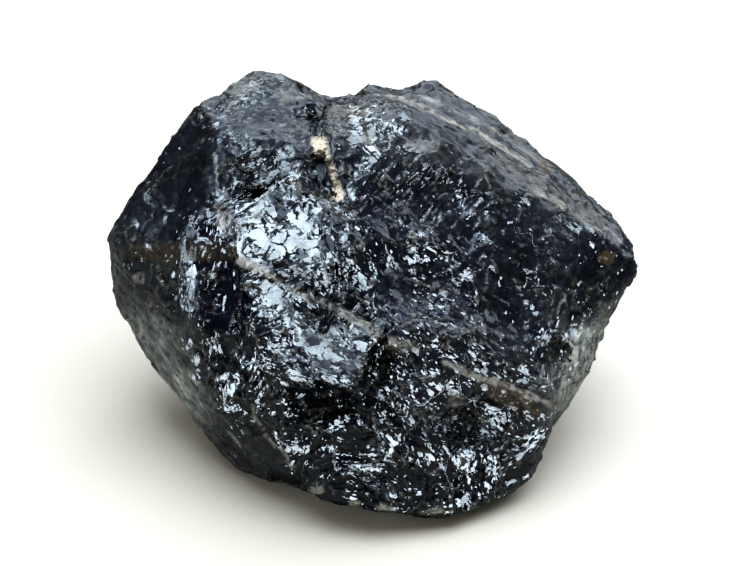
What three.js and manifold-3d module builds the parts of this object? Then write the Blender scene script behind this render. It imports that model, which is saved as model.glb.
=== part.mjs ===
// A rough block of morion, the black variety of quartz: one solid lump broken on every side.
//
// The block starts as the convex hull of its corners, as if hewn by flat breaks. Shell-shaped
// scars, sunken and raised flats and hackly steps then shape its skin, recesses and cracks are
// cut into it, and its underside is cut flat where the block rests.
//
// Units are millimetres. The finished block stands on z = 0, with +x to the right, +y away
// from the front and +z up.
import * as THREE from 'three';
import { ConvexGeometry } from 'three/addons/geometries/ConvexGeometry.js';
import { ConvexHull } from 'three/addons/math/ConvexHull.js';
import { ImprovedNoise } from 'three/addons/math/ImprovedNoise.js';
import { mergeVertices } from 'three/addons/utils/BufferGeometryUtils.js';
import Module from 'manifold-3d';

const wasm = await Module();
wasm.setup();

// The front is described as it looks from an eye above the table: millimetres across and up
// in the picture plane through the block's middle, and millimetres out of it to the eye.
const EYE_ELEVATION = THREE.MathUtils.degToRad(35);
const EYE_DISTANCE = 560;
const MIDDLE_HEIGHT = 57; // of the picture plane's middle above the resting face
const BASE_SPARE = 3; // rock below the resting face, which the flat cut removes
const TABLE_SIZE = 400; // of the block of space that cuts the base flat

const SKIN_DETAIL = 20; // how finely the block's skin is divided
const SKIN_CENTRE = [0, 2, -17]; // middle of the block, from which its whole skin is in sight
const SKIN_STRETCH = [74, 58, 50]; // the block's half sizes, which keep the skin's net even
const SKIN_FRONT_BIAS = 0.28; // how much finer the net is in front than behind
const SKIN_SCATTER = 0.022; // how far the net's points stray, which keeps it from looking woven
const EDGE_HALVINGS = 14; // steps of the search for the edge between two faces
const WELD = 1e-4; // points nearer than this are one

const BIG_CELL = 15; // spacing of the large hackly steps
const BIG_STEP = 1.9; // their height where the break is roughest
const SMALL_CELL = 6.5; // spacing of the small hackly steps
const SMALL_STEP = 1; // their height where the break is roughest
const STEP_TILT = 1.1; // how much the tops of the steps lean
const WAVE = 15; // length of the slow waves in a face
const SWELL = 0.6; // height of the slow waves
const RECESS_CLEARANCE = 8; // how far a recess's cutter stands clear of the skin

// The outline, clockwise from the left corner: [across, up, out].
const OUTLINE = [
  [-75, 14, -8],
  [-69.3, 24.2, -11],
  [-60.1, 35.2, -13],
  [-55, 44, -14],
  [-49.7, 50.4, -15],
  [-43.5, 54.4, -20],
  [-38.5, 57.2, -26],
  [-33.2, 59.4, -29],
  [-28.7, 57.6, -29],
  [12, 55.8, -30],
  [16.7, 57, -31],
  [21, 55.2, -31],
  [33.2, 44.6, -28],
  [39.9, 41.2, -27],
  [48.3, 35.2, -25],
  [53.9, 28.2, -20],
  [59.5, 22.4, -18],
  [67.3, 16.8, -15],
  [71.3, 11.3, -12],
  [73.2, 4, -10],
  [67.9, -4.4, -9],
  [61.8, -12.8, -10],
  [58.7, -24.4, -10],
  [53.6, -30.5, -10],
  [49, -41, -8],
  [42.9, -53.4, -5],
  [38.3, -58.3, -3],
  [31, -62.5, 0],
  [21.7, -65, 4],
  [6.3, -64.8, 8],
  [-2.1, -63.2, 9],
  [-14.7, -58.6, 9],
  [-32.3, -54.4, -4],
  [-38.3, -53.3, -12],
  [-43, -49.5, -18],
  [-49.7, -41.2, -20],
  [-63.5, -22.8, -24],
  [-69.2, -14.5, -24],
  [-73.4, -6, -22],
  [-74.8, 3.6, -18],
];

// Where the faces meet inside the outline: [across, up, out].
const RIDGES = {
  darkFace: [[-45.5, 43.5, -3], [-37, 31.5, 3], [-46, 19.5, 6], [-54, 14.5, 4]],
  undercutRim: [[-71.5, 6, -7], [-63.5, -7.5, -4], [-52.5, -19, 2], [-42.5, -34, 4], [-38, -47, 0]],
  leftColumn: [[-50.5, -16, 5], [-40.5, 1, 12], [-35.5, -13, 16]],
  lowerStep: [[-32.5, -28.5, 16], [-21.5, -29.5, 20], [-7.5, -29, 22]],
  crest: [[-9, 21, 11], [-7.5, 8, 15], [2, -17.5, 20]],
  vein: [[20.5, -24, 17], [34.5, -28.5, 12], [47.5, -33, 5]],
  lowerLeft: [[-32.5, -40, 9], [-22, -54, 7]],
  cap: [[-31.5, 39, 3], [-19, 41.5, 1.5]],
  topStrip: [[7.5, 47, -3], [17.5, 40.5, -1], [40, 29, -3], [62.5, 13.5, -4]],
  rightEnd: [[51, 12, 1], [50.5, -5, 5], [55.5, -17.5, 3], [52.5, -28.5, 0]],
};

// Corners that the front hides: [x, y, z] from the middle, with z up.
const BACK = [
  [-62, 40, 0],
  [-46, 58, 16],
  [-26, 68, 24],
  [10, 72, 10],
  [38, 58, 10],
  [60, 44, -8],
  [67, 26, -18],
  [56, 30, -42],
  [30, 56, -44],
  [-12, 62, -30],
  [-44, 48, -40],
  [-66, 26, -28],
  [-56, 16, -44],
];
const RESTING_FACE = [
  [-34, -12],
  [-12, -21],
  [18, -28],
  [34, -20],
  [46, 6],
  [36, 36],
  [-4, 42],
  [-36, 28],
  [-42, 4],
];

// Shell-shaped scars of the front. Each lies at a place [across, up], spreads so far to its
// sides and so far up and down, and goes so deep.
const FRONT_SCARS = {
  broadDish: { at: [13.5, -1.5], spread: [18, 13], depth: 3.4, turn: -25 },
  rightDish: { at: [39.7, -8.5], spread: [12, 18], depth: 3, turn: 12 },
  upperDish: { at: [13.7, 24], spread: [21, 12], depth: 2.5, turn: -30 },
  stripFlute: { at: [34.7, 34], spread: [30, 4.8], depth: 2.2, turn: -36 },
  undercut: { at: [-14.3, -35.5], spread: [16, 5], depth: 4.6, turn: -8 },
  shelf: { at: [29.7, -39.5], spread: [12, 6.5], depth: 3.2, turn: -12 },
  columnFlute: { at: [-44.3, -4], spread: [5.5, 17], depth: 2.4 },
  leftFlute: { at: [-59.3, 1.5], spread: [9, 5], depth: 1.4, turn: 10 },
  capDish: { at: [-29.3, 45.5], spread: [14, 4.5], depth: 2.2, turn: 8 },
  lowerRipple: { at: [-1.3, -49.5], spread: [18, 7], depth: 1.8, turn: -6 },
  rightRipple: { at: [36.7, -52.5], spread: [8, 9], depth: 1.8 },
  darkDish: { at: [-59, 23], spread: [15, 10], depth: 1.6, turn: 50 },
};

// Scars of the hidden sides, each seen from a direction [x, y, z].
const HIDDEN_SCARS = {
  backLeft: { from: [-0.55, 0.8, 0.15], spread: [26, 17], depth: 4.5, turn: 25 },
  backRight: { from: [0.6, 0.8, -0.1], spread: [20, 26], depth: 4, turn: -15 },
  backLow: { from: [-0.1, 1, -0.45], spread: [24, 12], depth: 3.5, turn: 8 },
  backTop: { from: [0.1, 0.75, 0.9], spread: [17, 9], depth: 2.4, turn: -12 },
  left: { from: [-1, 0.25, -0.35], spread: [18, 13], depth: 3.2, turn: 30 },
  right: { from: [1, 0.35, -0.55], spread: [17, 12], depth: 3, turn: -35 },
};

// Notches in the outline: a place [across, up, out] and the way each notch faces.
const NOTCHES = {
  saddle: { at: [-12, 59, -26], facing: [0.05, 1, 0.2], spread: [12.5, 30], depth: 10 },
  top: { at: [-14.4, 52, -20], facing: [-0.3, 1, 0.4], spread: [4.2, 14], depth: 5 },
  topRight: { at: [3, 59, -27], facing: [0, 1, 0.2], spread: [11, 28], depth: 7 },
  shoulder: { at: [27.5, 51, -29], facing: [0.6, 1, 0], spread: [7, 16], depth: 2.4 },
  capRight: { at: [-24, 59, -28], facing: [0.2, 1, 0], spread: [9, 18], depth: 3 },
  capCorner: { at: [-45.5, 53.6, -18], facing: [-0.6, 1, 0.3], spread: [4, 8], depth: 1.6 },
  right: { at: [60.5, -18, -9], facing: [1, -0.1, 0.1], spread: [5, 8], depth: 2.4 },
  bottom: { at: [-25, -56, -1], facing: [-0.2, -1, 0.2], spread: [7, 10], depth: 2.6 },
};

// Flats that stand proud of the break or are sunk into it: an outline of [across, up] corners,
// a rise at its middle and the slope of the flat across and up.
const FLATS = {
  bulgingBlock: {
    outline: [
      [-39.6, 21.8], [-32.3, 24.4], [-21.7, 23.8], [-12.7, 21], [-7.7, 14.8], [-7.1, 5.9],
      [-13.3, -0.6], [-21.7, -2], [-32.3, -0.6], [-38.5, 5.9], [-40.7, 14.3],
    ],
    rise: 2.6,
    slope: [0.03, 0.08],
  },
  upperBlock: {
    outline: [[-38.4, 36.6], [-21, 40.6], [-18.8, 35], [-17, 24], [-29.5, 26.6], [-38.5, 24.6]],
    rise: 1.2,
    slope: [0.04, -0.04],
  },
  darkPatch: {
    outline: [[-42.7, 33], [-37.1, 33], [-37.1, 23.2], [-42.7, 23.2]],
    rise: -1.4,
    slope: [0.1, 0],
  },
  overhang: {
    outline: [
      [-35.3, -4], [-22.3, -3.5], [-9.3, -9], [0.6, -14], [4.2, -17.5],
      [-0.7, -26], [-7.3, -30.4], [-16.3, -30], [-30, -27.5], [-34, -17],
    ],
    rise: 3,
    slope: [0.03, -0.07],
  },
  brightFacet: {
    outline: [[-10.2, 3.6], [-7.1, 3.4], [-1.8, 0.6], [-4.3, -2.5], [-6.6, -4.2], [-8, 0]],
    rise: 1.2,
    slope: [-0.25, 0.1],
  },
  smallPeak: {
    outline: [[2.7, -11.5], [8.7, -8.5], [16.2, -8.6], [23.7, -14], [12, -19], [3, -18]],
    rise: 2.2,
    slope: [0, 0.16],
  },
  stripStep: {
    outline: [[0.7, 53.5], [20.7, 44.5], [45.7, 30.5], [48.7, 35.5], [28.7, 49.5], [12.7, 57.5]],
    rise: -1.4,
    slope: [0, 0],
  },
  setBack: {
    outline: [[20.7, -32.5], [40.2, -35.5], [36.2, -44.5], [24.2, -45.5], [19.7, -38.5]],
    rise: -2.2,
    slope: [0.05, 0.12],
  },
  glintFacet: {
    outline: [[21.8, -46], [27.8, -46], [28.2, -49.5], [25.4, -54], [21.2, -50]],
    rise: 0.8,
    slope: [0, 0.1],
  },
  lowerCorner: {
    outline: [
      [-44.3, -37.5], [-35.8, -33.5], [-32.3, -39.5], [-25.8, -46.5],
      [-21.3, -55.5], [-38.3, -55.5], [-43.3, -47.5],
    ],
    rise: -2.6,
    slope: [0.03, 0.03],
  },
  columnEdge: {
    outline: [[-56, 15.4], [-50.4, 15.4], [-48.2, 0], [-48.2, -11], [-53, -13]],
    rise: 1.8,
    slope: [-0.2, 0],
  },
  capStep: {
    outline: [[-46, 47], [-30, 51], [-16, 47], [-18, 51.5], [-32, 56.5], [-43, 52.5]],
    rise: 1.8,
    slope: [0, 0.06],
  },
};

// Recesses and open cracks of the front: an outline of [across, up] corners, how deep each goes
// below the hewn face, its size at the bottom as a share of its size at the skin, and the place
// about which it narrows where that isn't its middle, so that one wall is steep.
const RECESSES = {
  fissure: {
    outline: [
      [-18.6, 35.8], [-14.7, 36.4], [-13, 31.1], [-11.9, 24.1], [-14.1, 22.1], [-16.7, 24.4],
    ],
    depth: 4.5,
    taper: 0.85,
  },
  fissureTop: {
    outline: [[-17.6, 50], [-14.6, 50.4], [-14.6, 43], [-15.4, 39.6], [-17.6, 39.4]],
    depth: 2.4,
    taper: 0.4,
    deepest: [-15.2, 44],
  },
  darkWall: {
    outline: [[-3.2, -19.3], [2.4, -13.2], [4.1, -19.3], [4.6, -33.3], [-4.3, -35.6]],
    depth: 6.5,
    taper: 0.35,
    deepest: [-1.4, -25],
  },
  underOverhang: {
    outline: [[-26.6, -28.4], [-16.1, -30.2], [-5.1, -31], [-3, -37], [-12, -40], [-23.7, -37.6]],
    depth: 6.5,
    taper: 0.35,
    deepest: [-14, -31],
  },
  blackGap: {
    outline: [[-12.5, 5.9], [-7.7, 4.2], [-7.1, -0.6], [-9.1, -4.8], [-15.5, -14.6], [-12.3, -6.2]],
    depth: 2.2,
    taper: 0.3,
    deepest: [-9.6, 0],
  },
  groove: {
    outline: [[-39.1, 0.3], [-35.1, 0.8], [-34.6, -6.2], [-35.7, -14.8], [-38.5, -14.8], [-39.9, -7.6]],
    depth: 2.6,
    taper: 0.35,
    deepest: [-36.2, -6],
  },
  overBlock: {
    outline: [[-40.2, 23], [-37.4, 26], [-29.6, 28.4], [-28.3, 26.6], [-33, 22.6], [-38.5, 21.4]],
    depth: 4,
    taper: 0.35,
    deepest: [-34.6, 24],
  },
  pit: {
    outline: [
      [47.2, -16.5], [51.1, -15.1], [55, -17.4], [54.5, -22.1], [51.1, -24.4], [48, -21.6],
    ],
    depth: 2.8,
    taper: 0.6,
    deepest: [50.6, -18],
  },
  overGlint: {
    outline: [[19.6, -41.2], [28.6, -41.4], [29.4, -46], [21.6, -46.3]],
    depth: 3.8,
    taper: 0.5,
    deepest: [25, -45],
  },
};

// How rough the break is about some places of the front: [across, up, roughness].
const ROUGHNESS = [
  [-61.3, 21.5, 0.3],
  [-59.3, -2.5, 0.4],
  [-43.3, -2.5, 0.3],
  [-23.3, 7.5, 0.9],
  [-21.3, -16.5, 0.8],
  [-29.3, 45.5, 0.8],
  [20.7, 7.5, 0.45],
  [40.7, -8.5, 0.45],
  [38.7, 29.5, 0.4],
  [62.7, 2.5, 0.45],
  [6.7, -44.5, 1],
  [36.7, -46.5, 0.8],
  [-35.3, -47.5, 0.35],
  [-57.3, -34.5, 0.2],
  [-45.3, -22.5, 1],
];
const HIDDEN_FROM = -24; // farther from the eye than this, the break is rough all over
const HIDDEN_ROUGHNESS = 0.9;

const AXIS_OUT = new THREE.Vector3(0, 0, 1); // from the block to the eye

// From the middle's upright frame to the picture frame, and back.
const toPicture = new THREE.Matrix4().makeRotationX(EYE_ELEVATION - Math.PI / 2);
const toUpright = toPicture.clone().invert();

/** A point of the picture frame for a place as the eye sees it. */
function seen([across, up, out]) {
  const nearer = 1 - out / EYE_DISTANCE;
  return new THREE.Vector3(across * nearer, up * nearer, out);
}

/** A point of the picture frame for a place in the upright frame. */
function upright([x, y, z]) {
  return new THREE.Vector3(x, y, z).applyMatrix4(toPicture);
}

/** The flat breaks that bound the block, as planes whose normals point outwards. */
function flatBreaks() {
  const corners = [
    ...OUTLINE.map(seen),
    ...Object.values(RIDGES).flat().map(seen),
    ...BACK.map(upright),
    ...RESTING_FACE.map(([x, y]) => upright([x, y, -MIDDLE_HEIGHT - BASE_SPARE])),
  ];
  const hull = new ConvexHull().setFromPoints(corners);
  return hull.faces.map((face) => new THREE.Plane(face.normal.clone(), -face.constant));
}

const BREAKS = flatBreaks();

/** Where a ray from outside meets the hewn block, and the way the block faces there. */
function onBreaks(ray) {
  let farthest = -Infinity;
  let facing = AXIS_OUT;
  for (const plane of BREAKS) {
    const entering = -plane.normal.dot(ray.direction);
    const reach = plane.distanceToPoint(ray.origin) / entering;
    if (entering > 0 && reach > farthest) {
      farthest = reach;
      facing = plane.normal;
    }
  }
  return { place: ray.at(farthest, new THREE.Vector3()), facing };
}

/** Where the eye sees the hewn block at a place of the picture plane. */
function fromEye([across, up]) {
  const eye = new THREE.Vector3(0, 0, EYE_DISTANCE);
  const towards = new THREE.Vector3(across, up, 0).sub(eye).normalize();
  return onBreaks(new THREE.Ray(eye, towards));
}

/** Where the hewn block is met from a direction of the upright frame. */
function fromSide(direction) {
  const outwards = upright(direction).normalize();
  const middle = new THREE.Vector3(...SKIN_CENTRE);
  const start = middle.clone().addScaledVector(outwards, EYE_DISTANCE);
  return onBreaks(new THREE.Ray(start, outwards.negate()));
}

/** A scar as the matrix that takes its egg, sunk into the block, to a ball of radius one. */
function scar({ place, facing, spread: [wide, high], depth, turn = 0 }) {
  const radius = (wide * wide + depth * depth) / (2 * depth);
  const spin = new THREE.Quaternion().setFromAxisAngle(AXIS_OUT, THREE.MathUtils.degToRad(turn));
  const tilt = new THREE.Quaternion().setFromUnitVectors(AXIS_OUT, facing);
  const centre = place.clone().addScaledVector(facing, radius - depth);
  const size = new THREE.Vector3(radius, (radius * high) / wide, radius);
  return new THREE.Matrix4().compose(centre, tilt.multiply(spin), size).invert();
}

const SCARS = [
  ...Object.values(FRONT_SCARS).map((each) => scar({ ...each, ...fromEye(each.at) })),
  ...Object.values(HIDDEN_SCARS).map((each) => scar({ ...each, ...fromSide(each.from) })),
  ...Object.values(NOTCHES).map((each) => scar({
    ...each,
    place: seen(each.at),
    facing: new THREE.Vector3(...each.facing).normalize(),
  })),
];

/** How far a ray from the middle goes before it leaves through a flat break. */
function reachOfBreak(plane, ray) {
  const leaving = plane.normal.dot(ray.direction);
  if (leaving <= 0) {
    return Infinity;
  }
  return -plane.distanceToPoint(ray.origin) / leaving;
}

/** How far a ray from the middle goes before it enters a scar. */
function reachOfScar(toBall, ray) {
  const start = ray.origin.clone().applyMatrix4(toBall);
  const along = ray.origin.clone().add(ray.direction).applyMatrix4(toBall).sub(start);
  const a = along.lengthSq();
  const b = start.dot(along);
  const crossing = b * b - a * (start.lengthSq() - 1);
  if (crossing <= 0 || b >= 0) {
    return Infinity;
  }
  return (-b - Math.sqrt(crossing)) / a;
}

/** Where a direction from the middle meets the scarred block, and which break or scar is there. */
function skinPoint(direction) {
  const ray = new THREE.Ray(new THREE.Vector3(...SKIN_CENTRE), direction.clone().normalize());
  const reaches = [
    ...BREAKS.map((plane) => reachOfBreak(plane, ray)),
    ...SCARS.map((toBall) => reachOfScar(toBall, ray)),
  ];
  const reach = Math.min(...reaches);
  return { place: ray.at(reach, new THREE.Vector3()), surface: reaches.indexOf(reach), direction };
}

/** The place between two points of the skin where one surface gives way to another. */
function edgeBetween(from, to) {
  let [low, high] = [0, 1];
  let found = from;
  for (let halving = 0; halving < EDGE_HALVINGS; halving++) {
    const middle = (low + high) / 2;
    found = skinPoint(from.direction.clone().lerp(to.direction, middle));
    if (found.surface === from.surface) {
      low = middle;
    } else {
      high = middle;
    }
  }
  const chord = new THREE.Line3(from.place, to.place);
  const onChord = chord.closestPointToPoint(found.place, true, new THREE.Vector3());
  return { found, part: low, sharpness: onChord.distanceTo(found.place) };
}

/** The scarred block's skin: a net of even triangles whose points lie on its sharp edges. */
function skin() {
  const ball = new THREE.IcosahedronGeometry(1, SKIN_DETAIL);
  ball.deleteAttribute('normal');
  ball.deleteAttribute('uv');
  const net = mergeVertices(ball, WELD);
  const position = net.attributes.position;
  const points = Array.from({ length: position.count }, (_, n) => {
    const direction = new THREE.Vector3().fromBufferAttribute(position, n);
    const stray = [5, 6, 7].map((salt) => (cellNumber(n, 0, 0, salt) - 0.5) * SKIN_SCATTER);
    direction.add(new THREE.Vector3(...stray));
    direction.z += SKIN_FRONT_BIAS;
    return skinPoint(direction.normalize().multiply(new THREE.Vector3(...SKIN_STRETCH)));
  });
  const moves = new Map();
  const corner = net.index.array;
  for (let n = 0; n < corner.length; n++) {
    const next = n % 3 === 2 ? n - 2 : n + 1;
    const [a, b] = [corner[n], corner[next]];
    if (a < b && points[a].surface !== points[b].surface) {
      const edge = edgeBetween(points[a], points[b]);
      const mover = edge.part < 0.5 ? a : b;
      if (!(moves.get(mover)?.sharpness > edge.sharpness)) {
        moves.set(mover, edge);
      }
    }
  }
  moves.forEach((edge, n) => {
    points[n] = edge.found;
  });
  points.forEach(({ place }, n) => position.setXYZ(n, ...place.toArray()));
  return net;
}

const perlin = new ImprovedNoise();

/** Three noise values at a place, as a vector. */
function noiseVector(place, length) {
  const [x, y, z] = place.toArray().map((value) => value / length);
  return new THREE.Vector3(
    perlin.noise(x, y, z),
    perlin.noise(x + 31.4, y, z + 11.2),
    perlin.noise(x, y + 47.1, z + 5.3),
  );
}

/** A repeatable number from 0 to 1 for a whole-numbered cell. */
function cellNumber(i, j, k, salt) {
  const value = Math.sin(i * 127.1 + j * 311.7 + k * 74.7 + salt * 53.3) * 43758.5453;
  return value - Math.floor(value);
}

/** The height of a hackly break at a place: each cell is a small flat at its own level. */
function hackle(place, size) {
  const scaled = place.clone().divideScalar(size);
  const [ci, cj, ck] = scaled.toArray().map(Math.floor);
  let nearest = Infinity;
  let height = 0;
  for (let i = ci - 1; i <= ci + 1; i++) {
    for (let j = cj - 1; j <= cj + 1; j++) {
      for (let k = ck - 1; k <= ck + 1; k++) {
        const [a, b, c] = [1, 2, 3].map((salt) => cellNumber(i, j, k, salt));
        const away = scaled.clone().sub(new THREE.Vector3(i + a, j + b, k + c));
        if (away.length() < nearest) {
          nearest = away.length();
          const lean = new THREE.Vector3(a - 0.5, b - 0.5, c - 0.5).multiplyScalar(STEP_TILT);
          height = lean.dot(away) + cellNumber(i, j, k, 4) - 0.5;
        }
      }
    }
  }
  return height;
}

/** Whether a place of the picture plane is inside an outline. */
function isInside(outline, across, up) {
  let inside = false;
  outline.forEach(([x, y], n) => {
    const [nextX, nextY] = outline[(n + 1) % outline.length];
    const spans = (y > up) !== (nextY > up);
    if (spans && across < x + ((nextX - x) * (up - y)) / (nextY - y)) {
      inside = !inside;
    }
  });
  return inside;
}

/** The middle of an outline of [across, up] corners. */
function middleOf(outline) {
  const sum = outline.reduce(([x, y], [across, up]) => [x + across, y + up], [0, 0]);
  return sum.map((value) => value / outline.length);
}

/** How far the flats push the skin towards the eye at a place of the picture plane. */
function flatRise(across, up) {
  let rise = 0;
  for (const flat of Object.values(FLATS)) {
    if (isInside(flat.outline, across, up)) {
      const [x, y] = middleOf(flat.outline);
      rise += flat.rise + flat.slope[0] * (across - x) + flat.slope[1] * (up - y);
    }
  }
  return rise;
}

/** How rough the break is at a place of the picture frame. */
function roughnessAt(across, up, out) {
  if (out < HIDDEN_FROM) {
    return HIDDEN_ROUGHNESS;
  }
  let total = 0;
  let weights = 0;
  for (const [x, y, roughness] of ROUGHNESS) {
    const weight = 1 / (((across - x) ** 2 + (up - y) ** 2) ** 2 + 1);
    total += roughness * weight;
    weights += weight;
  }
  return total / weights;
}

/** The skin with its flats, slow waves and hackly steps. */
function roughened(geometry) {
  const position = geometry.attributes.position;
  geometry.computeVertexNormals();
  const normal = geometry.attributes.normal;
  for (let n = 0; n < position.count; n++) {
    const place = new THREE.Vector3().fromBufferAttribute(position, n);
    const outwards = new THREE.Vector3().fromBufferAttribute(normal, n);
    const nearer = 1 - place.z / EYE_DISTANCE;
    const [across, up] = [place.x / nearer, place.y / nearer];
    const moved = noiseVector(place, WAVE).multiplyScalar(SWELL);
    const steps = hackle(place, BIG_CELL) * BIG_STEP + hackle(place, SMALL_CELL) * SMALL_STEP;
    moved.addScaledVector(outwards, steps * roughnessAt(across, up, place.z));
    if (place.z > HIDDEN_FROM) {
      moved.z += flatRise(across, up);
    }
    position.setXYZ(n, ...place.add(moved).toArray());
  }
  geometry.deleteAttribute('normal');
  return geometry;
}

/** A three.js geometry as a manifold solid. */
function solid(geometry) {
  const bare = geometry.clone();
  bare.deleteAttribute('normal');
  bare.deleteAttribute('uv');
  const merged = mergeVertices(bare, WELD);
  return new wasm.Manifold(new wasm.Mesh({
    numProp: 3,
    vertProperties: merged.attributes.position.array,
    triVerts: new Uint32Array(merged.index.array),
  }));
}

/** A manifold solid as a three.js geometry. */
function geometryOf(made) {
  const { vertProperties, triVerts } = made.getMesh();
  const geometry = new THREE.BufferGeometry();
  geometry.setAttribute('position', new THREE.BufferAttribute(vertProperties, 3));
  geometry.setIndex(new THREE.BufferAttribute(triVerts, 1));
  return geometry;
}

/** The cutter of a recess, open to the eye and narrower at its bottom. */
function recess({ outline, depth, taper, deepest = middleOf(outline) }) {
  const [middleX, middleY] = deepest;
  const corners = outline.flatMap(([across, up]) => {
    const { z } = fromEye([across, up]).place;
    const narrowed = [middleX + (across - middleX) * taper, middleY + (up - middleY) * taper];
    return [seen([across, up, z + RECESS_CLEARANCE]), seen([across, up, z]),
      seen([...narrowed, z - depth])];
  });
  return solid(new ConvexGeometry(corners));
}

/** The finished block, standing upright on a flat resting face at z = 0. */
function block() {
  const rough = solid(roughened(skin()));
  const cutters = Object.values(RECESSES).map(recess);
  const broken = cutters.reduce((lump, cutter) => lump.subtract(cutter), rough);
  const standing = geometryOf(broken).applyMatrix4(toUpright).translate(0, 0, MIDDLE_HEIGHT);
  const table = new THREE.BoxGeometry(TABLE_SIZE, TABLE_SIZE, TABLE_SIZE);
  table.translate(0, 0, -TABLE_SIZE / 2);
  return geometryOf(solid(standing).subtract(solid(table)));
}

const quartz = new THREE.Mesh(
  block(),
  new THREE.MeshStandardMaterial({ color: 0x14161b, roughness: 0.2, metalness: 0 }),
);
quartz.name = 'quartz_block';

const lump = new THREE.Group();
lump.add(quartz);

export default lump;
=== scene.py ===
"""A rough block of black morion quartz on a pale floor.

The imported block's skin is divided finely and broken up into hackly flats, then dressed as glassy
black quartz with milky veins, a chalky crust, smoky patches and chipped pale edges.
"""

import logging
import math
from dataclasses import dataclass, field
from enum import Enum

import bmesh
import bpy
import numpy as np
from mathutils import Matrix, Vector, noise


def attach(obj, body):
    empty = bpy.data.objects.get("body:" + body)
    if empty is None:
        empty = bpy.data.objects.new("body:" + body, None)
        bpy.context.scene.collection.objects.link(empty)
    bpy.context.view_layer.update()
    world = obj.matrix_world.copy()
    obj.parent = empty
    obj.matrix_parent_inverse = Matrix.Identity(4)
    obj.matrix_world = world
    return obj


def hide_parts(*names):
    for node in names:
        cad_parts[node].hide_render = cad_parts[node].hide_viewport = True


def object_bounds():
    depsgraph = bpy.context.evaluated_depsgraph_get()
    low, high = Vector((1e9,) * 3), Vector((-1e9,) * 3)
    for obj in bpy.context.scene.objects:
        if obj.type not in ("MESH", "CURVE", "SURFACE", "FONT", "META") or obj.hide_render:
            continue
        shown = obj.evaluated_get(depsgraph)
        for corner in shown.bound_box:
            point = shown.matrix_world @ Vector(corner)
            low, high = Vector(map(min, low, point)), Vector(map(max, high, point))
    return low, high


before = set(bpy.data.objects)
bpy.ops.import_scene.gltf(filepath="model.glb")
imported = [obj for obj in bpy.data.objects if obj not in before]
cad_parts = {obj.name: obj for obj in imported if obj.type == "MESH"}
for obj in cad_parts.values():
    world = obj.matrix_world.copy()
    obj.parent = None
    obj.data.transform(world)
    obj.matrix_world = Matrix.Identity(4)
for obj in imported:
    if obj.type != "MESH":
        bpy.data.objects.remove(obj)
CAD_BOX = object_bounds()

log = logging.getLogger("quartz")

MM = 0.001
Place = tuple[float, float]
Tone = tuple[float, float, float, float]
Socket = bpy.types.NodeSocket
Feed = Socket | float | tuple[float, ...]

GRAIN_DETAIL = 5.0
GRAIN_ROUGHNESS = 0.62
GRAIN_RANGE = (0.32, 0.68)  # the part of the noise that is spread over the wanted range
AIM_JITTER = 1.5  # degrees by which flats turned to a lamp stray from it, about
BRIGHT_LEAN = 0.25  # how much of its zone's spread a flat keeps on top of one that catches a lamp
LEAST_SLOPE = 0.4  # keeps a steep flat from running away from the skin
RISE_SHARE = 0.4  # how far a flat may rise, as a share of how far it may sink
SEAM_DEPTH = 0.3  # depth of the seams between flats, as a share of the step between their levels
SEAM_WIDTH = 0.1  # width of the seams, as a share of the flats' spacing
LIE_ROUNDS = 24  # rounds of averaging that leave only the broad faces
FACING_ROUNDS = 4  # rounds of averaging by which flats are parted at ridges
WEAR_ROUNDS = 2  # rounds of averaging against which an edge stands out
WEAR_FROM = 0.05  # millimetres that a point stands out before its edge is chipped
WEAR_OVER = 0.12  # millimetres over which the chipping grows
ZONE_CORE = 4.0  # keeps a zone's weight finite at its middle
ZONE_FADE = 6.0  # millimetres over which the front's zones give way to the hidden one
MARK_FADE = 4.0  # millimetres over which the front's markings end
GLINT_FARTHEST = 84.0  # degrees beyond which no facet of a bright patch turns to a lamp
STRAY_FARTHEST = 62.0  # the same for the facets between the patches
TURN_FADE = 14.0  # degrees over which they end
LEAST_BLOCKY = 0.04  # how blocky the skin is outside the blocky places
SHARP_ANGLE = 24.0  # degrees between faces from which their edge is sharp


class Mark(Enum):
    """What the skin carries as point attributes, from 0 to 1."""

    MILK = "milk"
    CRUST = "crust"
    SMOKE = "smoke"
    CHIP = "chip"
    # grey haze of the stone, and on the left rim and the right undercut a painted reflection of the floor
    HAZE_AND_PAINTED_REFLECTION = "haze_and_painted_reflection"
    HACKLY = "hackly"
    SATIN = "satin"
    GLINT = "glint"
    SHEEN = "sheen"
    BLOCKY = "blocky"


class Course(Enum):
    """What the skin carries with three parts to a point: the breaks' own places, and ways to lamps."""

    FLOW = "flow"
    AIM = "aim"
    TURN = "turn"


@dataclass(frozen=True)
class PictureFrame:
    """The frame in which the front is described: millimetres across, up and out to the eye.

    Its origin lies over the block's own, at the middle of the picture, and places are taken as the eye
    sees them.
    """

    elevation: float = math.radians(35)
    distance: float = 560.0
    middle_height: float = 57.0

    def out_of(self, across: float, up: float, out: float) -> Vector:
        """Turns a seen place into a point of the block, in millimetres.

        Args:
            across: millimetres to the right of the middle.
            up: millimetres above the middle.
            out: millimetres from the picture plane to the eye.

        Returns:
            The point in the block's own frame.
        """
        nearer = 1 - out / self.distance
        x, y, z = across * nearer, up * nearer, out
        sine, cosine = math.sin(self.elevation), math.cos(self.elevation)
        return Vector((x, y * sine - z * cosine, y * cosine + z * sine + self.middle_height))

    def into(self, points: np.ndarray) -> np.ndarray:
        """Turns points of the block into seen places.

        Args:
            points: rows of x, y, z in millimetres.

        Returns:
            Rows of across, up and out.
        """
        sine, cosine = math.sin(self.elevation), math.cos(self.elevation)
        z = points[:, 2] - self.middle_height
        up = points[:, 1] * sine + z * cosine
        out = z * sine - points[:, 1] * cosine
        nearer = 1 - out / self.distance
        return np.stack([points[:, 0] / nearer, up / nearer, out], axis=1)

    def eye(self) -> Vector:
        """The place of the eye, in millimetres of the block's frame."""
        return self.out_of(0, 0, self.distance)


PICTURE = PictureFrame()


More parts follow.
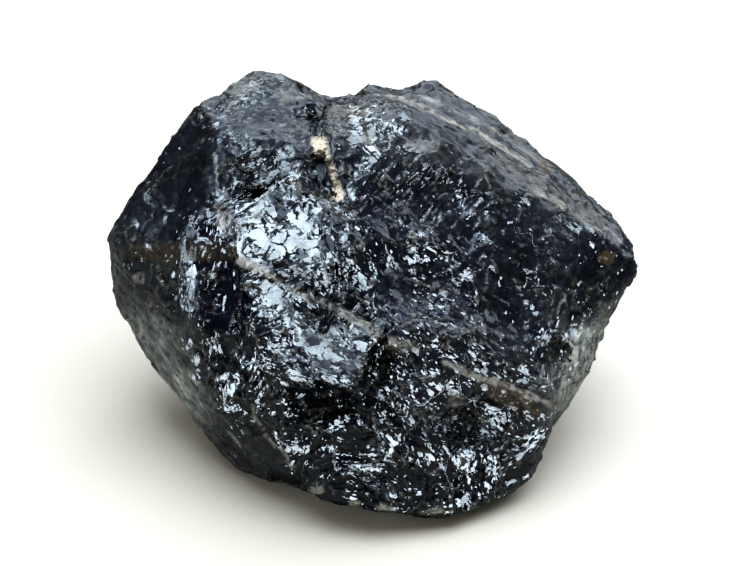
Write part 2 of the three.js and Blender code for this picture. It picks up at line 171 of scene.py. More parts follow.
def smooth(values: np.ndarray) -> np.ndarray:
    """Eases values from 0 to 1, held at both ends."""
    held = np.clip(values, 0, 1)
    return held * held * (3 - 2 * held)


def unit(rows: np.ndarray) -> np.ndarray:
    """Rows of vectors at length 1."""
    return rows / np.maximum(np.linalg.norm(rows, axis=1, keepdims=True), 1e-9)


def ripple(points: np.ndarray, length: float, seed: float = 0.0) -> np.ndarray:
    """Smooth noise, about -1 to 1, at points in millimetres.

    Args:
        points: rows of x, y, z.
        length: size of a swell.
        seed: shifts the pattern.

    Returns:
        One value for each point.
    """
    places = (points / length + seed).tolist()
    return np.array([noise.noise(Vector(place)) for place in places])


@dataclass(frozen=True)
class Lamp:
    """A soft rectangular studio lamp that faces the block.

    Attributes:
        name: what the lamp is for.
        towards: direction from the block to the lamp.
        distance: metres from the block.
        size: width and height in metres.
        radiance: brightness of its face.
        colour: tint of its light.
        mirrored: whether the glassy breaks mirror it; the other lamps light the floor and the dull parts.
    """

    name: str
    towards: tuple[float, float, float]
    distance: float
    size: tuple[float, float]
    radiance: float
    colour: tuple[float, float, float] = (1, 1, 1)
    mirrored: bool = True

    def place(self) -> Vector:
        """The lamp's place in metres."""
        return Vector(self.towards).normalized() * self.distance + Vector((0, 0, PICTURE.middle_height * MM))

    def build(self) -> None:
        """Hangs the lamp."""
        light = bpy.data.lights.new(self.name, "AREA")
        light.shape = "RECTANGLE"
        light.size, light.size_y = self.size
        light.energy = self.radiance * math.pi * self.size[0] * self.size[1]
        light.color = self.colour
        lamp = bpy.data.objects.new(self.name, light)
        bpy.context.scene.collection.objects.link(lamp)
        lamp.location = self.place()
        lamp.rotation_euler = Vector(self.towards).to_track_quat("Z", "Y").to_euler()
        lamp.visible_diffuse = not self.mirrored
        lamp.visible_glossy = self.mirrored


KEY_LAMP = Lamp("key", (-0.33, -0.19, 0.92), 1.1, (0.28, 0.28), 20.0, (0.77, 0.90, 1.0))
FRONT_LAMP = Lamp("front", (0.12, -0.93, 0.36), 1.4, (0.42, 0.28), 19.0, (0.80, 0.91, 1.0))
OVERHEAD_LAMP = Lamp("overhead", (-0.20, 0.10, 0.97), 1.3, (0.8, 0.8), 3.7, (0.70, 0.86, 1.0))


def caught_from(lamp: Lamp, places: np.ndarray) -> np.ndarray:
    """The directions in which flats would show a lamp to the eye.

    Args:
        lamp: the lamp.
        places: the middle of each flat, in millimetres.

    Returns:
        Rows of directions.
    """
    sight = unit(np.array(PICTURE.eye()) - places)
    return unit(sight + unit(np.array(lamp.place()) / MM - places))


def nearest_lamp(places: np.ndarray, straight: np.ndarray) -> tuple[np.ndarray, np.ndarray]:
    """The direction in which a flat would catch a lamp, and how far it would have to turn.

    Args:
        places: the middle of each flat, in millimetres.
        straight: the skin's direction there.

    Returns:
        Rows of directions, and degrees, for whichever lamp is nearest.
    """
    best, least = straight, np.full(len(places), 180.0)
    for lamp in (KEY_LAMP, FRONT_LAMP):
        caught = caught_from(lamp, places)
        turn = np.degrees(np.arccos(np.clip(np.einsum("ij,ij->i", caught, straight), -1, 1)))
        best = np.where((turn < least)[:, None], caught, best)
        least = np.minimum(turn, least)
    return best, least


@dataclass(frozen=True)
class Zone:
    """A place of the front and how it is broken there.

    Attributes:
        across: millimetres to the right of the middle.
        up: millimetres above the middle.
        aimed: share of the flats that catch a lamp.
        spread: how far the flats lean from the skin, in degrees.
        hackly: how much the break is covered with tiny facets.
        satin: how dull the break is.
        haze_and_painted_reflection: how grey the black is; where it is high, on the left rim and the right
            undercut, it is a painted reflection of the bright floor.
    """

    across: float
    up: float
    aimed: float
    spread: float
    hackly: float
    satin: float
    haze_and_painted_reflection: float


ZONES = (
    Zone(-60, 24, 0, 2, 0.10, 0.25, 0.025),
    Zone(-50, 32, 0, 2, 0.12, 0.3, 0.025),
    Zone(-66, 2, 0.02, 6, 0.3, 0.2, 0.055),
    Zone(-16.5, 30, 0.0, 2, 0.08, 0.3, 0),
    Zone(-7, -7, 0.03, 4, 0.35, 0.1, 0),
    Zone(-38, -8, 0.0, 4, 0.3, 0.1, 0),
    Zone(-5, 17, 0.03, 4, 0.45, 0.1, 0.025),
    Zone(-57, -8, 0.04, 8, 0.35, 0.2, 0.033),
    Zone(-45, 2, 0.06, 3, 0.3, 0.1, 0),
    Zone(-44, -10, 0.08, 4, 0.35, 0.1, 0),
    Zone(-46, -24, 0.45, 14, 0.8, 0, 0),
    Zone(-38, -30, 0.45, 14, 0.8, 0, 0),
    Zone(-36, 18, 0.5, 5, 0.8, 0.1, 0.028),
    Zone(-25, 12, 0.55, 5, 0.8, 0.1, 0.033),
    Zone(-15, 4, 0.4, 5, 0.8, 0.1, 0.033),
    Zone(-30, -4, 0.5, 6, 0.8, 0.1, 0.028),
    Zone(-34, 30, 0.2, 3, 0.4, 0.2, 0.033),
    Zone(-20, 30, 0.15, 6, 0.5, 0.1, 0.044),
    Zone(-12, -20, 0.3, 4, 0.5, 0.2, 0.055),
    Zone(-25, -20, 0.4, 8, 0.7, 0.1, 0.033),
    Zone(-30, 45, 0.04, 3, 0.35, 0.35, 0.044),
    Zone(-35, 56, 0.3, 12, 0.8, 0.3, 0.088),
    Zone(-15, 50, 0.1, 8, 0.6, 0.3, 0.055),
    Zone(0, 44, 0.25, 10, 0.8, 0.1, 0.066),
    Zone(12, 55, 0.02, 5, 0.5, 0.3, 0.055),
    Zone(15, 42, 0.03, 5, 0.4, 0.4, 0.066),
    Zone(35, 40, 0.03, 5, 0.4, 0.4, 0.083),
    Zone(55, 25, 0.06, 7, 0.5, 0.3, 0.055),
    Zone(0, 25, 0.045, 4, 0.5, 0.05, 0.025),
    Zone(15, 22, 0.045, 4, 0.5, 0.05, 0.025),
    Zone(20, 8, 0.05, 4, 0.5, 0.05, 0.025),
    Zone(35, 10, 0.02, 3, 0.4, 0.1, 0.025),
    Zone(40, -5, 0.015, 3, 0.4, 0.1, 0.025),
    Zone(10, -8, 0.12, 8, 0.6, 0.1, 0.025),
    Zone(63, 4, 0.03, 5, 0.35, 0, 0.025),
    Zone(55, -7, 0.05, 5, 0.4, 0.1, 0.025),
    Zone(48, -16, 0.1, 8, 0.6, 0.1, 0.017),
    # the haze of these two zones is a painted reflection of the floor on the right undercut
    Zone(58, -18, 0.2, 10, 0.6, 0.2, 0.9),
    Zone(60, -26, 0.2, 10, 0.6, 0.2, 0.9),
    Zone(12, -24, 0.3, 10, 0.8, 0, 0.044),
    Zone(22, -28, 0.24, 10, 0.8, 0, 0.044),
    Zone(36, -30, 0.2, 8, 0.7, 0.1, 0.033),
    Zone(-15, -33, 0.08, 8, 0.4, 0.2, 0),
    Zone(-25, -42, 0.1, 12, 0.8, 0, 0),
    Zone(-14, -38, 0.1, 12, 0.8, 0, 0),
    Zone(0, -44, 0.1, 13, 0.8, 0, 0),
    Zone(20, -38, 0.06, 5, 0.5, 0.3, 0.017),
    Zone(20, -52, 0.1, 12, 0.8, 0, 0),
    Zone(38, -50, 0.2, 12, 0.8, 0, 0.022),
    Zone(-8, -56, 0.06, 10, 0.6, 0, 0),
    Zone(-35, -46, 0.08, 4, 0.3, 0.25, 0.055),
    # the haze of these two zones is a painted reflection of the floor on the left rim
    Zone(-55, -30, 0.12, 3, 0.25, 0.3, 0.7),
    Zone(-62, -14, 0.12, 3, 0.25, 0.3, 0.5),
)
HIDDEN_ZONE = Zone(0, 0, 0.02, 8, 0.55, 0.1, 0.03)
HIDDEN_FROM = -26.0  # millimetres out: behind this the front's zones give way to the hidden one


@dataclass(frozen=True)
class Spot:
    """A patch of the front.

    Attributes:
        centre: across and up.
        size: half its width and half its height, in millimetres.
        turn: degrees that it is turned to the left.
        strength: how strongly it shows.
    """

    centre: Place
    size: Place
    turn: float = 0.0
    strength: float = 1.0

    def mask(self, seen: np.ndarray, stray: np.ndarray) -> np.ndarray:
        """How strongly the patch shows at seen places.

        Args:
            seen: rows of across, up and out.
            stray: raggedness of the edge at each place.

        Returns:
            Values from 0 to 1.
        """
        angle = math.radians(self.turn)
        off = seen[:, :2] - np.array(self.centre)
        along = off[:, 0] * math.cos(angle) + off[:, 1] * math.sin(angle)
        beside = off[:, 1] * math.cos(angle) - off[:, 0] * math.sin(angle)
        away = np.hypot(along / self.size[0], beside / self.size[1]) + 0.35 * stray
        return smooth((1.25 - away) / 0.4) * self.strength


SHEENS = (
    # the pale strip at the left
    Spot((-52.8, 2.5), (3.0, 13), -4, 1),
    # the smooth face over the hollow
    Spot((-15, -21), (13, 7), -22, 0.9),
    Spot((-3, -14), (5, 4), -30, 0.5),
    # the bulging block
    Spot((-26, 12), (15, 14), -10, 0.4),
    Spot((-33, 31), (6, 6), 20, 0.6),
    Spot((-30, -6), (8, 5), -20, 0.35),
    # the broad face
    Spot((16, 6), (8, 4), -15, 0.25),
    Spot((22, 2), (5, 8), -20, 0.22),
    Spot((8, -12), (8, 4), -30, 0.3),
    # the right end and the undercut
    Spot((57, -18), (6, 9), 70, 0.5),
    Spot((45, -26), (6, 4), 20, 0.4),
    # the cap
    Spot((-34, 45), (13, 4.5), -5, 0.5),
    # the low front
    Spot((1, -59), (5, 2.4), -10, 0.8),
    Spot((12, -36), (9, 3), -30, 0.3),
    Spot((30, -38), (8, 2.4), -30, 0.4),
)
BLOCKY_PLACES = (
    Spot((-26, 12), (15, 15), -10, 1),
    Spot((-14, -14), (14, 8), -30, 0.5),
    Spot((0, 42), (9, 9), 0, 0.7),
    Spot((24.8, -49.6), (3.6, 3.8), 0, 1),
    Spot((23.4, -60), (2.2, 2.8), 0, 1),
    Spot((-22.3, -26.3), (4, 1.8), -20, 0.8),
    Spot((-40.5, -28), (1.4, 3), -10, 0.8),
    Spot((12, 38.2), (5, 1.6), 0, 1),
    Spot((-52.8, 1), (2.2, 8), -5, 0.6),
    Spot((-60.2, 29), (2.6, 4.2), -35, 0.6),
)


@dataclass(frozen=True)
class Flats:
    """A layer of hackly flats: each a small plane that leans its own way.

    Attributes:
        spacing: millimetres between the flats.
        share: how much of the zone's spread the flats lean.
        least: degrees that they lean at least.
        aimed: how much of the zone's share catches a lamp.
        farthest: largest turn that a flat makes to catch a lamp, in degrees.
        reach: how far a flat may stand from the skin, in millimetres.
        step: millimetres between the levels of the flats.
        seed: shifts the pattern.
        sparse: whether the layer has only the flats that catch a lamp.
        curl: how much the edges of the flats curl.
    """

    spacing: float
    share: float
    least: float
    aimed: float
    farthest: float
    reach: float
    step: float
    seed: int
    sparse: bool = False
    curl: float = 0.3

    def heights(
        self, points: np.ndarray, normals: np.ndarray, facing: np.ndarray, zones: np.ndarray
    ) -> tuple[np.ndarray, np.ndarray]:
        """The height of the flats over the skin.

        Args:
            points: rows of x, y, z in millimetres.
            normals: the direction in which each point moves.
            facing: the skin's direction about each point.
            zones: rows of the share aimed at a lamp, the spread, and whether the point already is aimed.

        Returns:
            One height for each point, and whether its flat is aimed at a lamp.
        """
        cell, gap = self._cells(points, facing)
        count = np.bincount(cell)[:, None]

        def mean(rows: np.ndarray) -> np.ndarray:
            """The mean of rows over each flat."""
            return np.stack([np.bincount(cell, weights=column) for column in rows.T], axis=1) / count

        middle, straight, zone = mean(points), unit(mean(normals)), mean(zones)
        chance = np.random.default_rng(self.seed)
        caught, turn = nearest_lamp(middle, straight)
        aimed = (chance.random(len(middle)) < zone[:, 0] * self.aimed) & (turn < self.farthest)
        bright = zone[:, 2] > 0.5
        degrees = self.least + zone[:, 1] * self.share * np.where(bright, BRIGHT_LEAN, 1)
        lean = chance.normal(size=middle.shape) * np.tan(np.radians(degrees))[:, None]
        jitter = chance.normal(size=middle.shape) * math.tan(math.radians(AIM_JITTER))
        plane = np.where(aimed[:, None], unit(caught + jitter), unit(straight + lean))
        level = (chance.random(len(middle)) - 0.5) * self.step
        drop = np.einsum("ij,ij->i", middle[cell] - points, plane[cell])
        slope = np.maximum(np.einsum("ij,ij->i", normals, plane[cell]), LEAST_SLOPE)
        height = np.clip(drop / slope, -self.reach, RISE_SHARE * self.reach) + level[cell]
        height = height - SEAM_DEPTH * self.step * smooth(1 - gap / SEAM_WIDTH)
        if self.sparse:
            height = height * aimed[cell]
        return height, (aimed | bright)[cell].astype(float)

    def _cells(self, points: np.ndarray, facing: np.ndarray) -> tuple[np.ndarray, np.ndarray]:
        """Which flat each point belongs to.

        Args:
            points: rows of x, y, z in millimetres.
            facing: the skin's direction about each point, which parts the flats at ridges.

        Returns:
            The number of each point's flat, and how far the point is from the flat's edge.
        """
        warp = np.stack([ripple(points, self.spacing * 1.3, self.seed + k) for k in range(3)], axis=1)
        places = (points + self.spacing * (0.9 * facing + self.curl * warp)) / self.spacing + self.seed
        seats, gaps = [], []
        for place in places.tolist():
            distances, spots = noise.voronoi(Vector(place))
            seats.append(spots[0])
            gaps.append(distances[1] - distances[0])
        keys = np.round(np.array(seats) * 256).astype(np.int64)
        cell = np.unique(keys, axis=0, return_inverse=True)[1].ravel()
        return cell, np.array(gaps)


@dataclass(frozen=True)
class Ripples:
    """Shell-shaped ripples that spread from where a blow struck.

    Attributes:
        centre: the place struck, as across, up and out.
        reach: nearest and farthest ripple, in millimetres.
        wave: millimetres from one ripple to the next.
        height: millimetres from trough to crest.
    """

    centre: tuple[float, float, float]
    reach: tuple[float, float]
    wave: float
    height: float

    def heights(self, points: np.ndarray) -> np.ndarray:
        """The height of the ripples at points in millimetres.

        Args:
            points: rows of x, y, z.

        Returns:
            One height for each point.
        """
        centre = np.array(PICTURE.out_of(*self.centre))
        away = np.linalg.norm(points - centre, axis=1) + 0.7 * ripple(points, 4.0, 3.3)
        inner, outer = self.reach
        fade = smooth((away - inner) / 3) * smooth((outer - away) / 4)
        crest = np.abs(np.sin(np.pi * away / self.wave))
        return (crest - 1) * fade * self.height


@dataclass(frozen=True)
class Striae:
    """A patch of fine parallel ridges.

    Attributes:
        patch: where they are.
        angle: degrees by which they climb to the right.
        wave: millimetres from one ridge to the next.
        height: millimetres from trough to crest.
    """

    patch: Spot
    angle: float
    wave: float
    height: float

    def heights(self, points: np.ndarray, seen: np.ndarray, stray: np.ndarray) -> np.ndarray:
        """The height of the ridges at points in millimetres.

        Args:
            points: rows of x, y, z.
            seen: the points as across, up and out.
            stray: raggedness of the patch's edge.

        Returns:
            One height for each point.
        """
        angle = math.radians(self.angle)
        beside = seen[:, 1] * math.cos(angle) - seen[:, 0] * math.sin(angle)
        beside = beside + 0.5 * self.wave * ripple(points, 7.0, 2.9)
        crest = np.abs(np.sin(np.pi * beside / self.wave))
        return (crest - 1) * self.patch.mask(seen, stray) * self.height


@dataclass(frozen=True)
class Sheet:
    """A healed crack that runs through the block and shows as a vein round its hidden sides.

    Attributes:
        start: a place on it, as across, up and out.
        end: another.
        into: a third, which says how the sheet dips.
        width: half the vein's width in millimetres.
        wander: how far the vein strays.
        strength: how milky it is.
    """

    start: tuple[float, float, float]
    end: tuple[float, float, float]
    into: tuple[float, float, float]
    width: float
    wander: float
    strength: float

    def mask(self, points: np.ndarray) -> np.ndarray:
        """How strongly the vein shows at points in millimetres.

        Args:
            points: rows of x, y, z.

        Returns:
            Values from 0 to 1.
        """
        start, end, into = (np.array(PICTURE.out_of(*p)) for p in (self.start, self.end, self.into))
        normal = np.cross(end - start, into - start)
        normal /= np.linalg.norm(normal)
        stray = self.wander * (ripple(points, 9.0, 7.7) + 0.35 * ripple(points, 2.6, 1.1))
        off = np.abs((points - start) @ normal + stray)
        return smooth(1.4 - off / self.width) * self.strength


@dataclass(frozen=True)
class Streak:
    """A line of one marking on the front, through places of across, up and half width."""

    path: tuple[tuple[float, float, float], ...]
    strength: float = 1.0

    def mask(self, seen: np.ndarray, stray: np.ndarray) -> np.ndarray:
        """How strongly the streak shows at seen places.

        Args:
            seen: rows of across, up and out.
            stray: raggedness of the edge at each place.

        Returns:
            Values from 0 to 1.
        """
        best = np.full(len(seen), 9.0)
        for (x0, y0, w0), (x1, y1, w1) in zip(self.path, self.path[1:]):
            along = np.array([x1 - x0, y1 - y0])
            off = seen[:, :2] - np.array([x0, y0])
            part = np.clip(off @ along / (along @ along), 0, 1)
            away = np.linalg.norm(off - part[:, None] * along, axis=1)
            best = np.minimum(best, away / (w0 + (w1 - w0) * part))
        return smooth((1.3 - best - 0.4 * stray) / 0.5) * self.strength


GLINTS = (
    # the bulging block
    Spot((-34.0, 21.8), (3.9, 1.7), 25, 1),
    Spot((-34.6, 14.8), (4.2, 3.1), -15, 0.9),
    Spot((-39.9, 21.0), (1.7, 1.4), 10, 0.8),
    Spot((-34.9, 10.6), (2.5, 1.4), 0, 0.6),
    Spot((-24.2, 18.8), (1.4, 2.2), -30, 0.9),
    Spot((-27.3, 13.2), (1.7, 3.9), -10, 0.85),
    Spot((-21.7, 19.0), (2.0, 4.5), -15, 0.85),
    Spot((-17.5, 22.1), (1.7, 2.8), 0, 0.9),
    Spot((-20.0, 14.8), (1.4, 2.2), 0, 0.9),
    Spot((-16.9, 12.3), (1.4, 0.8), 20, 0.9),
    Spot((-23.7, 29.4), (1.4, 1.7), 0, 0.9),
    Spot((-19.7, 30.0), (1.7, 1.4), 0, 0.8),
    Spot((-20.3, 33.6), (1.1, 1.1), 0, 0.6),
    Spot((-34.0, 31.1), (3.9, 2.8), 20, 0.45),
    Spot((-32.3, 27.7), (2.5, 1.1), 10, 0.6),
    Spot((-27.3, 34.4), (2.0, 2.5), 0, 0.45),
    Spot((-29.3, -4.5), (3.6, 1.7), 15, 1),
    Spot((-34.6, -3.4), (1.1, 1.7), 0, 0.9),
    Spot((-34.6, 5.3), (2.2, 1.4), -20, 0.8),
    Spot((-18.3, 5.9), (3.9, 3.4), 0, 0.45),
    Spot((-14.4, 2.2), (2.2, 1.7), 0, 0.5),
    Spot((-14.4, 16.0), (1.7, 3.9), 0, 0.45),
    Spot((-39.6, 13.2), (1.4, 3.4), 0, 0.5),
    # the band beside it
    Spot((-6.0, 0.8), (3.9, 2.0), -30, 1),
    Spot((-9.1, 12.6), (1.1, 3.9), 0, 0.95),
    Spot((-4.3, 9.5), (2.8, 1.1), -15, 0.9),
    Spot((-5.2, 14.3), (2.0, 1.4), 0, 0.6),
    Spot((-9.9, 19.9), (2.8, 0.7), -30, 0.9),
    # the broad face
    Spot((9.9, 9.2), (2.0, 1.0), -45, 0.9),
    Spot((15.5, 8.1), (3.9, 1.7), -10, 0.5),
    Spot((21.7, 7.3), (2.5, 1.7), -30, 0.8),
    Spot((25.9, 2.8), (1.4, 2.5), -25, 0.9),
    Spot((20.6, -4.5), (2.2, 1.1), 30, 0.4),
    Spot((4.1, 5.3), (2.2, 1.1), -35, 0.5),
    Spot((15.3, -1.1), (0.6, 1.4), 0, 0.9),
    Spot((25.3, 18.5), (2.0, 1.1), 0, 0.8),
    Spot((23.7, 11.8), (1.4, 0.4), 35, 0.9),
    Spot((31.8, 11.8), (2.0, 0.5), -25, 0.9),
    Spot((32.1, 17.6), (1.7, 1.1), 0, 0.5),
    Spot((34.6, -0.6), (1.1, 1.4), 10, 0.5),
    Spot((47.7, 14.8), (1.1, 0.6), 0, 1),
    Spot((50.5, 17.6), (0.8, 3.4), -10, 0.5),
    Spot((54.5, 15.7), (2.2, 1.4), -40, 0.6),
    Spot((59.5, 15.4), (2.2, 0.8), -35, 0.6),
    Spot((41.3, -23.8), (1.4, 1.7), 0, 0.5),
    Spot((46.6, -26.3), (1.4, 0.6), -20, 0.8),
    # the top
    Spot((-2.1, 45.4), (2.5, 2.0), -20, 0.8),
    Spot((-2.4, 40.3), (1.7, 1.7), 0, 1),
    Spot((-6.3, 49.0), (1.7, 0.8), -20, 0.9),
    Spot((5.5, 44.2), (2.2, 2.2), 0, 0.8),
    Spot((11.9, 38.1), (4.8, 1.3), 0, 1),
    Spot((6.0, 37.2), (1.1, 1.1), 0, 0.9),
    Spot((17.2, 33.0), (1.4, 0.8), -25, 0.8),
    Spot((-4.3, 32.5), (2.0, 1.4), -30, 0.6),
    Spot((-6.3, 23.5), (1.4, 0.7), -10, 0.8),
    # the cap
    Spot((-42.7, 42.3), (3.4, 1.4), -30, 0.55),
    Spot((-35.1, 40.9), (2.8, 1.0), -20, 0.7),
    Spot((-26.2, 42.0), (2.2, 0.8), -25, 0.6),
    Spot((-37.4, 55.2), (4.8, 2.5), 25, 0.55),
    Spot((-20.6, 47.6), (0.8, 1.7), -50, 0.7),
    # the left side
    Spot((-55.0, 11.2), (1.1, 3.9), 8, 0.5),
    Spot((-53.3, 0.0), (1.3, 5.6), -8, 0.4),
    Spot((-52.5, -6.7), (2.2, 1.4), 0, 0.8),
    Spot((-46.1, 10.4), (1.4, 0.8), -10, 0.7),
    Spot((-51.7, 17.4), (2.0, 1.1), -20, 0.4),
    Spot((-34.9, -12.9), (1.1, 2.0), 0, 1),
    Spot((-39.9, -12.6), (0.6, 1.7), 10, 0.9),
    Spot((-37.4, -18.2), (0.7, 2.2), 10, 0.9),
    Spot((-45.2, -15.7), (0.6, 1.7), 0, 0.9),
    Spot((-51.9, -16.8), (1.1, 1.4), 20, 0.8),
    Spot((-50.8, -21.6), (1.1, 1.4), 0, 0.8),
    Spot((-40.5, -28.8), (0.9, 2.2), -10, 1),
    Spot((-38.5, -26.9), (0.8, 1.4), 20, 0.8),
    Spot((-40.7, -35.3), (1.1, 0.6), 0, 0.9),
    Spot((-38.8, -35.3), (0.8, 0.6), 0, 0.9),
    Spot((-32.9, -17.9), (0.6, 1.7), 10, 0.8),
    Spot((-35.1, -22.7), (1.1, 1.4), 0, 0.5),
    Spot((-43.3, -21.0), (2.0, 1.1), -30, 0.5),
    Spot((-48.0, -16.5), (1.4, 1.1), -30, 0.4),
    Spot((-34.3, -37.0), (0.5, 2.5), -15, 0.9),
    # over the hollow
    Spot((-25.9, -19.9), (4.8, 1.7), -30, 0.75),
    Spot((-22.3, -26.3), (3.6, 1.3), -20, 1),
    Spot((-27.0, -23.2), (1.4, 0.6), -10, 0.8),
    Spot((-15.5, -18.2), (5.6, 2.5), -25, 0.45),
    Spot((-11.1, -22.7), (5.0, 2.8), -20, 0.45),
    Spot((-9.4, -27.4), (2.8, 1.4), -30, 0.85),
    Spot((-15.3, -36.1), (0.7, 1.4), -10, 0.9),
    Spot((-31.2, -30.2), (1.1, 1.1), 0, 0.7),
    # below the vein
    Spot((9.1, -22.7), (4.2, 1.1), -38, 0.8),
    Spot((15.0, -24.6), (3.1, 1.7), -35, 0.6),
    Spot((14.4, -16.0), (0.6, 2.0), -10, 0.9),
    Spot((16.7, -17.4), (0.5, 2.2), 0, 0.8),
    Spot((19.5, -14.3), (0.6, 1.7), -15, 0.9),
    Spot((33.5, -36.4), (6.4, 1.4), -30, 0.6),
    Spot((17.2, -37.8), (2.8, 0.8), -35, 0.7),
    Spot((48.0, -14.3), (2.5, 1.1), 20, 0.7),
    # the low front
    Spot((24.8, -49.6), (2.5, 3.1), 0, 1),
    Spot((23.4, -60.8), (1.4, 2.5), 0, 0.9),
    Spot((30.1, -56.8), (1.4, 1.1), 0, 0.8),
    Spot((26.7, -53.2), (1.7, 1.4), 0, 0.5),
    Spot((22.0, -55.7), (0.5, 1.4), 0, 0.9),
    Spot((40.2, -46.8), (4.5, 1.0), 22, 0.8),
    Spot((42.4, -43.4), (1.7, 0.8), 0, 0.9),
    Spot((28.7, -45.9), (0.8, 0.6), 0, 1),
    Spot((-9.1, -48.2), (5.6, 1.1), -12, 0.4),
    Spot((-2.1, -51.2), (3.9, 1.1), -10, 0.4),
    Spot((-19.2, -46.8), (1.7, 1.1), 25, 0.7),
    Spot((-25.1, -46.2), (2.0, 1.1), -20, 0.5),
    Spot((-11.1, -52.4), (0.8, 2.0), 15, 0.6),
    Spot((-3.2, -45.4), (2.2, 0.8), -30, 0.5),
    Spot((-19.5, -50.7), (1.7, 0.7), -20, 0.6),
    Spot((-13.3, -41.2), (2.5, 0.6), 25, 0.6),
    Spot((9.1, -48.2), (1.7, 2.5), 0, 0.3),
    Spot((5.7, -32.8), (4.8, 2.5), -35, 0.35),
    Spot((-27.3, -42.8), (2.2, 1.4), 0, 0.3),
    Spot((2.1, -37.0), (1.4, 1.7), -40, 0.4),
    # feathery strokes of the low front
    Streak(((-27.3, -45.9, 0.6), (-20.3, -46.6, 0.9), (-13.3, -45.4, 0.7), (-7.7, -50.7, 1.0)), 1),
    Streak(((-7.7, -50.7, 1.0), (-2.2, -51.8, 0.9), (2.1, -50.7, 0.8), (4.9, -44.5, 0.6)), 0.9),
    Streak(((-11.2, -47.6, 0.4), (-6.2, -48.4, 0.7), (-1.4, -48.6, 0.5)), 0.9),
    Streak(((-15.4, -41.7, 0.4), (-10.6, -38.4, 0.5), (-7.7, -37.5, 0.3)), 1),
    Streak(((-30.0, -43.4, 0.4), (-25.2, -45.1, 0.7), (-22.4, -44.2, 0.4)), 0.9),
    Streak(((-12.0, -50.4, 0.6), (-11.2, -53.8, 0.5)), 0.8),
    Streak(((-2.0, -54.6, 0.3), (2.0, -55.1, 0.4)), 0.8),
    Streak(((12.6, -42.3, 0.3), (16.8, -48.7, 0.4), (19.3, -53.0, 0.3)), 0.9),
    Streak(((15.4, -40.1, 0.3), (19.3, -46.2, 0.4), (22.4, -51.5, 0.3)), 0.9),
    Streak(((3.5, -37.5, 0.5), (8.4, -33.0, 1.0), (10.9, -30.2, 0.6)), 0.45),
    Streak(((14.8, -35.3, 0.5), (18.5, -38.6, 0.9), (21.8, -41.7, 0.5)), 0.7),
    Streak(((26.3, -33.0, 0.8), (33.6, -36.4, 1.4), (40.3, -41.4, 0.7)), 1),
    Streak(((37.8, -47.6, 0.7), (41.4, -45.6, 0.9), (46.2, -42.8, 0.6)), 1),
    Streak(((35.6, -49.0, 0.9), (37.8, -46.2, 0.7)), 0.9),
    Streak(((28.8, -47.9, 0.3), (32.2, -52.4, 0.4)), 0.7),
    Streak(((31.4, -57.4, 0.9), (33.6, -54.6, 0.7)), 0.8),
    Streak(((-6.4, -35.3, 0.4), (-4.8, -39.2, 0.6)), 0.8),
    Streak(((-4.5, -43.7, 0.8), (1.1, -42.3, 0.5)), 0.6),
)


SHEETS = (
    Sheet((-45.5, 19, 2), (51.1, -33.6, 3), (2.1, -17.4, 21), 1.1, 1.4, 0.8),
    Sheet((2, 53, -20), (71, 12, -10), (30, 30, -40), 0.8, 1.2, 0.5),
)
MILKY = (
    Streak(((-38.5, 5.9, 1.2), (-32.3, 3.6, 1.3), (-28, 0.5, 0.9)), 0.9),
    Streak(((-28, 0.5, 0.8), (-20.3, -3.9, 0.6), (-13.3, -6.2, 0.6)), 0.5),
    Streak(((-13.3, -6.2, 0.9), (-4.9, -10.9, 1.1), (2.1, -16, 0.9)), 0.6),
    Streak(((2.1, -16.2, 1.0), (7.7, -17.6, 1.5), (11, -18, 0.8)), 0.8),
    Streak(((18.9, -22.1, 0.8), (28.7, -26.6, 0.9), (38.5, -29.4, 1.0), (48.3, -34.2, 0.7)), 0.95),
    Streak(((-0.7, 53.5, 0.6), (7.7, 51.2, 0.7), (17.5, 47, 0.9), (25.9, 43.4, 0.7)), 0.9),
    Streak(((25.9, 43.4, 0.7), (34.3, 38.6, 0.8), (42.7, 33, 0.7)), 0.85),
    Streak(((11.9, 52.6, 0.5), (23.1, 47.9, 0.6), (34.3, 42, 0.6), (45.5, 34.4, 0.5)), 0.7),
    Streak(((44.1, 26, 0.8), (55.3, 19.9, 1.1), (67.9, 12, 0.8)), 0.5),
    Streak(((21, 57.4, 1.4), (28, 53, 1.4), (33.7, 47, 0.9)), 0.8),
    Spot((-42.7, 18.5), (2.4, 3.6), 0, 0.45),
    Spot((-66.8, 1.4), (1.7, 1.6), 0, 0.5),
    Spot((-63.7, -5.6), (1.0, 1.0), 0, 0.7),
    Spot((21.7, -32.5), (2.7, 1.9), -35, 0.55),
    Spot((-2.4, 40.6), (1.8, 2.0), 0, 0.4),
    Spot((12, 38.4), (5.4, 1.5), -8, 0.3),
    Spot((-20.3, 52.6), (3.4, 1.0), 8, 0.5),
    Spot((-24.5, 51.2), (2.6, 2.2), 0, 0.35),
)
CRUST = (
    Spot((-17.4, 39.6), (1.3, 1.3), 45),
    Spot((-16.0, 38.0), (1.6, 2.3)),
    Spot((-15.4, 40.0), (1.2, 1.2), 45),
    Streak(
        ((-15.0, 37.4, 1.2), (-13.6, 33.6, 0.7), (-12.9, 31, 0.9), (-11.9, 28.4, 0.8), (-11.2, 26.4, 1.4))
    ),
    Spot((-11.2, 24.6), (1.7, 1.5), 30),
)
CHIPPED = (
    Streak(((-34.9, -34.2, 0.4), (-34.6, -37.5, 0.4), (-32.0, -40.4, 0.5)), 0.55),
    Streak(((-31.5, -42.6, 0.5), (-29.0, -45.2, 0.4), (-26.2, -47.2, 0.5), (-24.0, -51.6, 0.4)), 0.5),
    Streak(((-41.9, -41.7, 0.3), (-40.0, -43.4, 0.5), (-38.5, -45.9, 0.3)), 0.5),
    Spot((-16.9, -58), (2.2, 1.0), 0, 0.8),
    Spot((-6.6, -61.9), (1.4, 1.0), 0, 0.8),
    Spot((2.1, -63), (2.8, 0.8), -10, 0.7),
    Spot((15.8, -63.8), (2.6, 0.8), 0, 0.7),
    Spot((-37, 55.5), (4.6, 2.6), 25, 0.18),
)
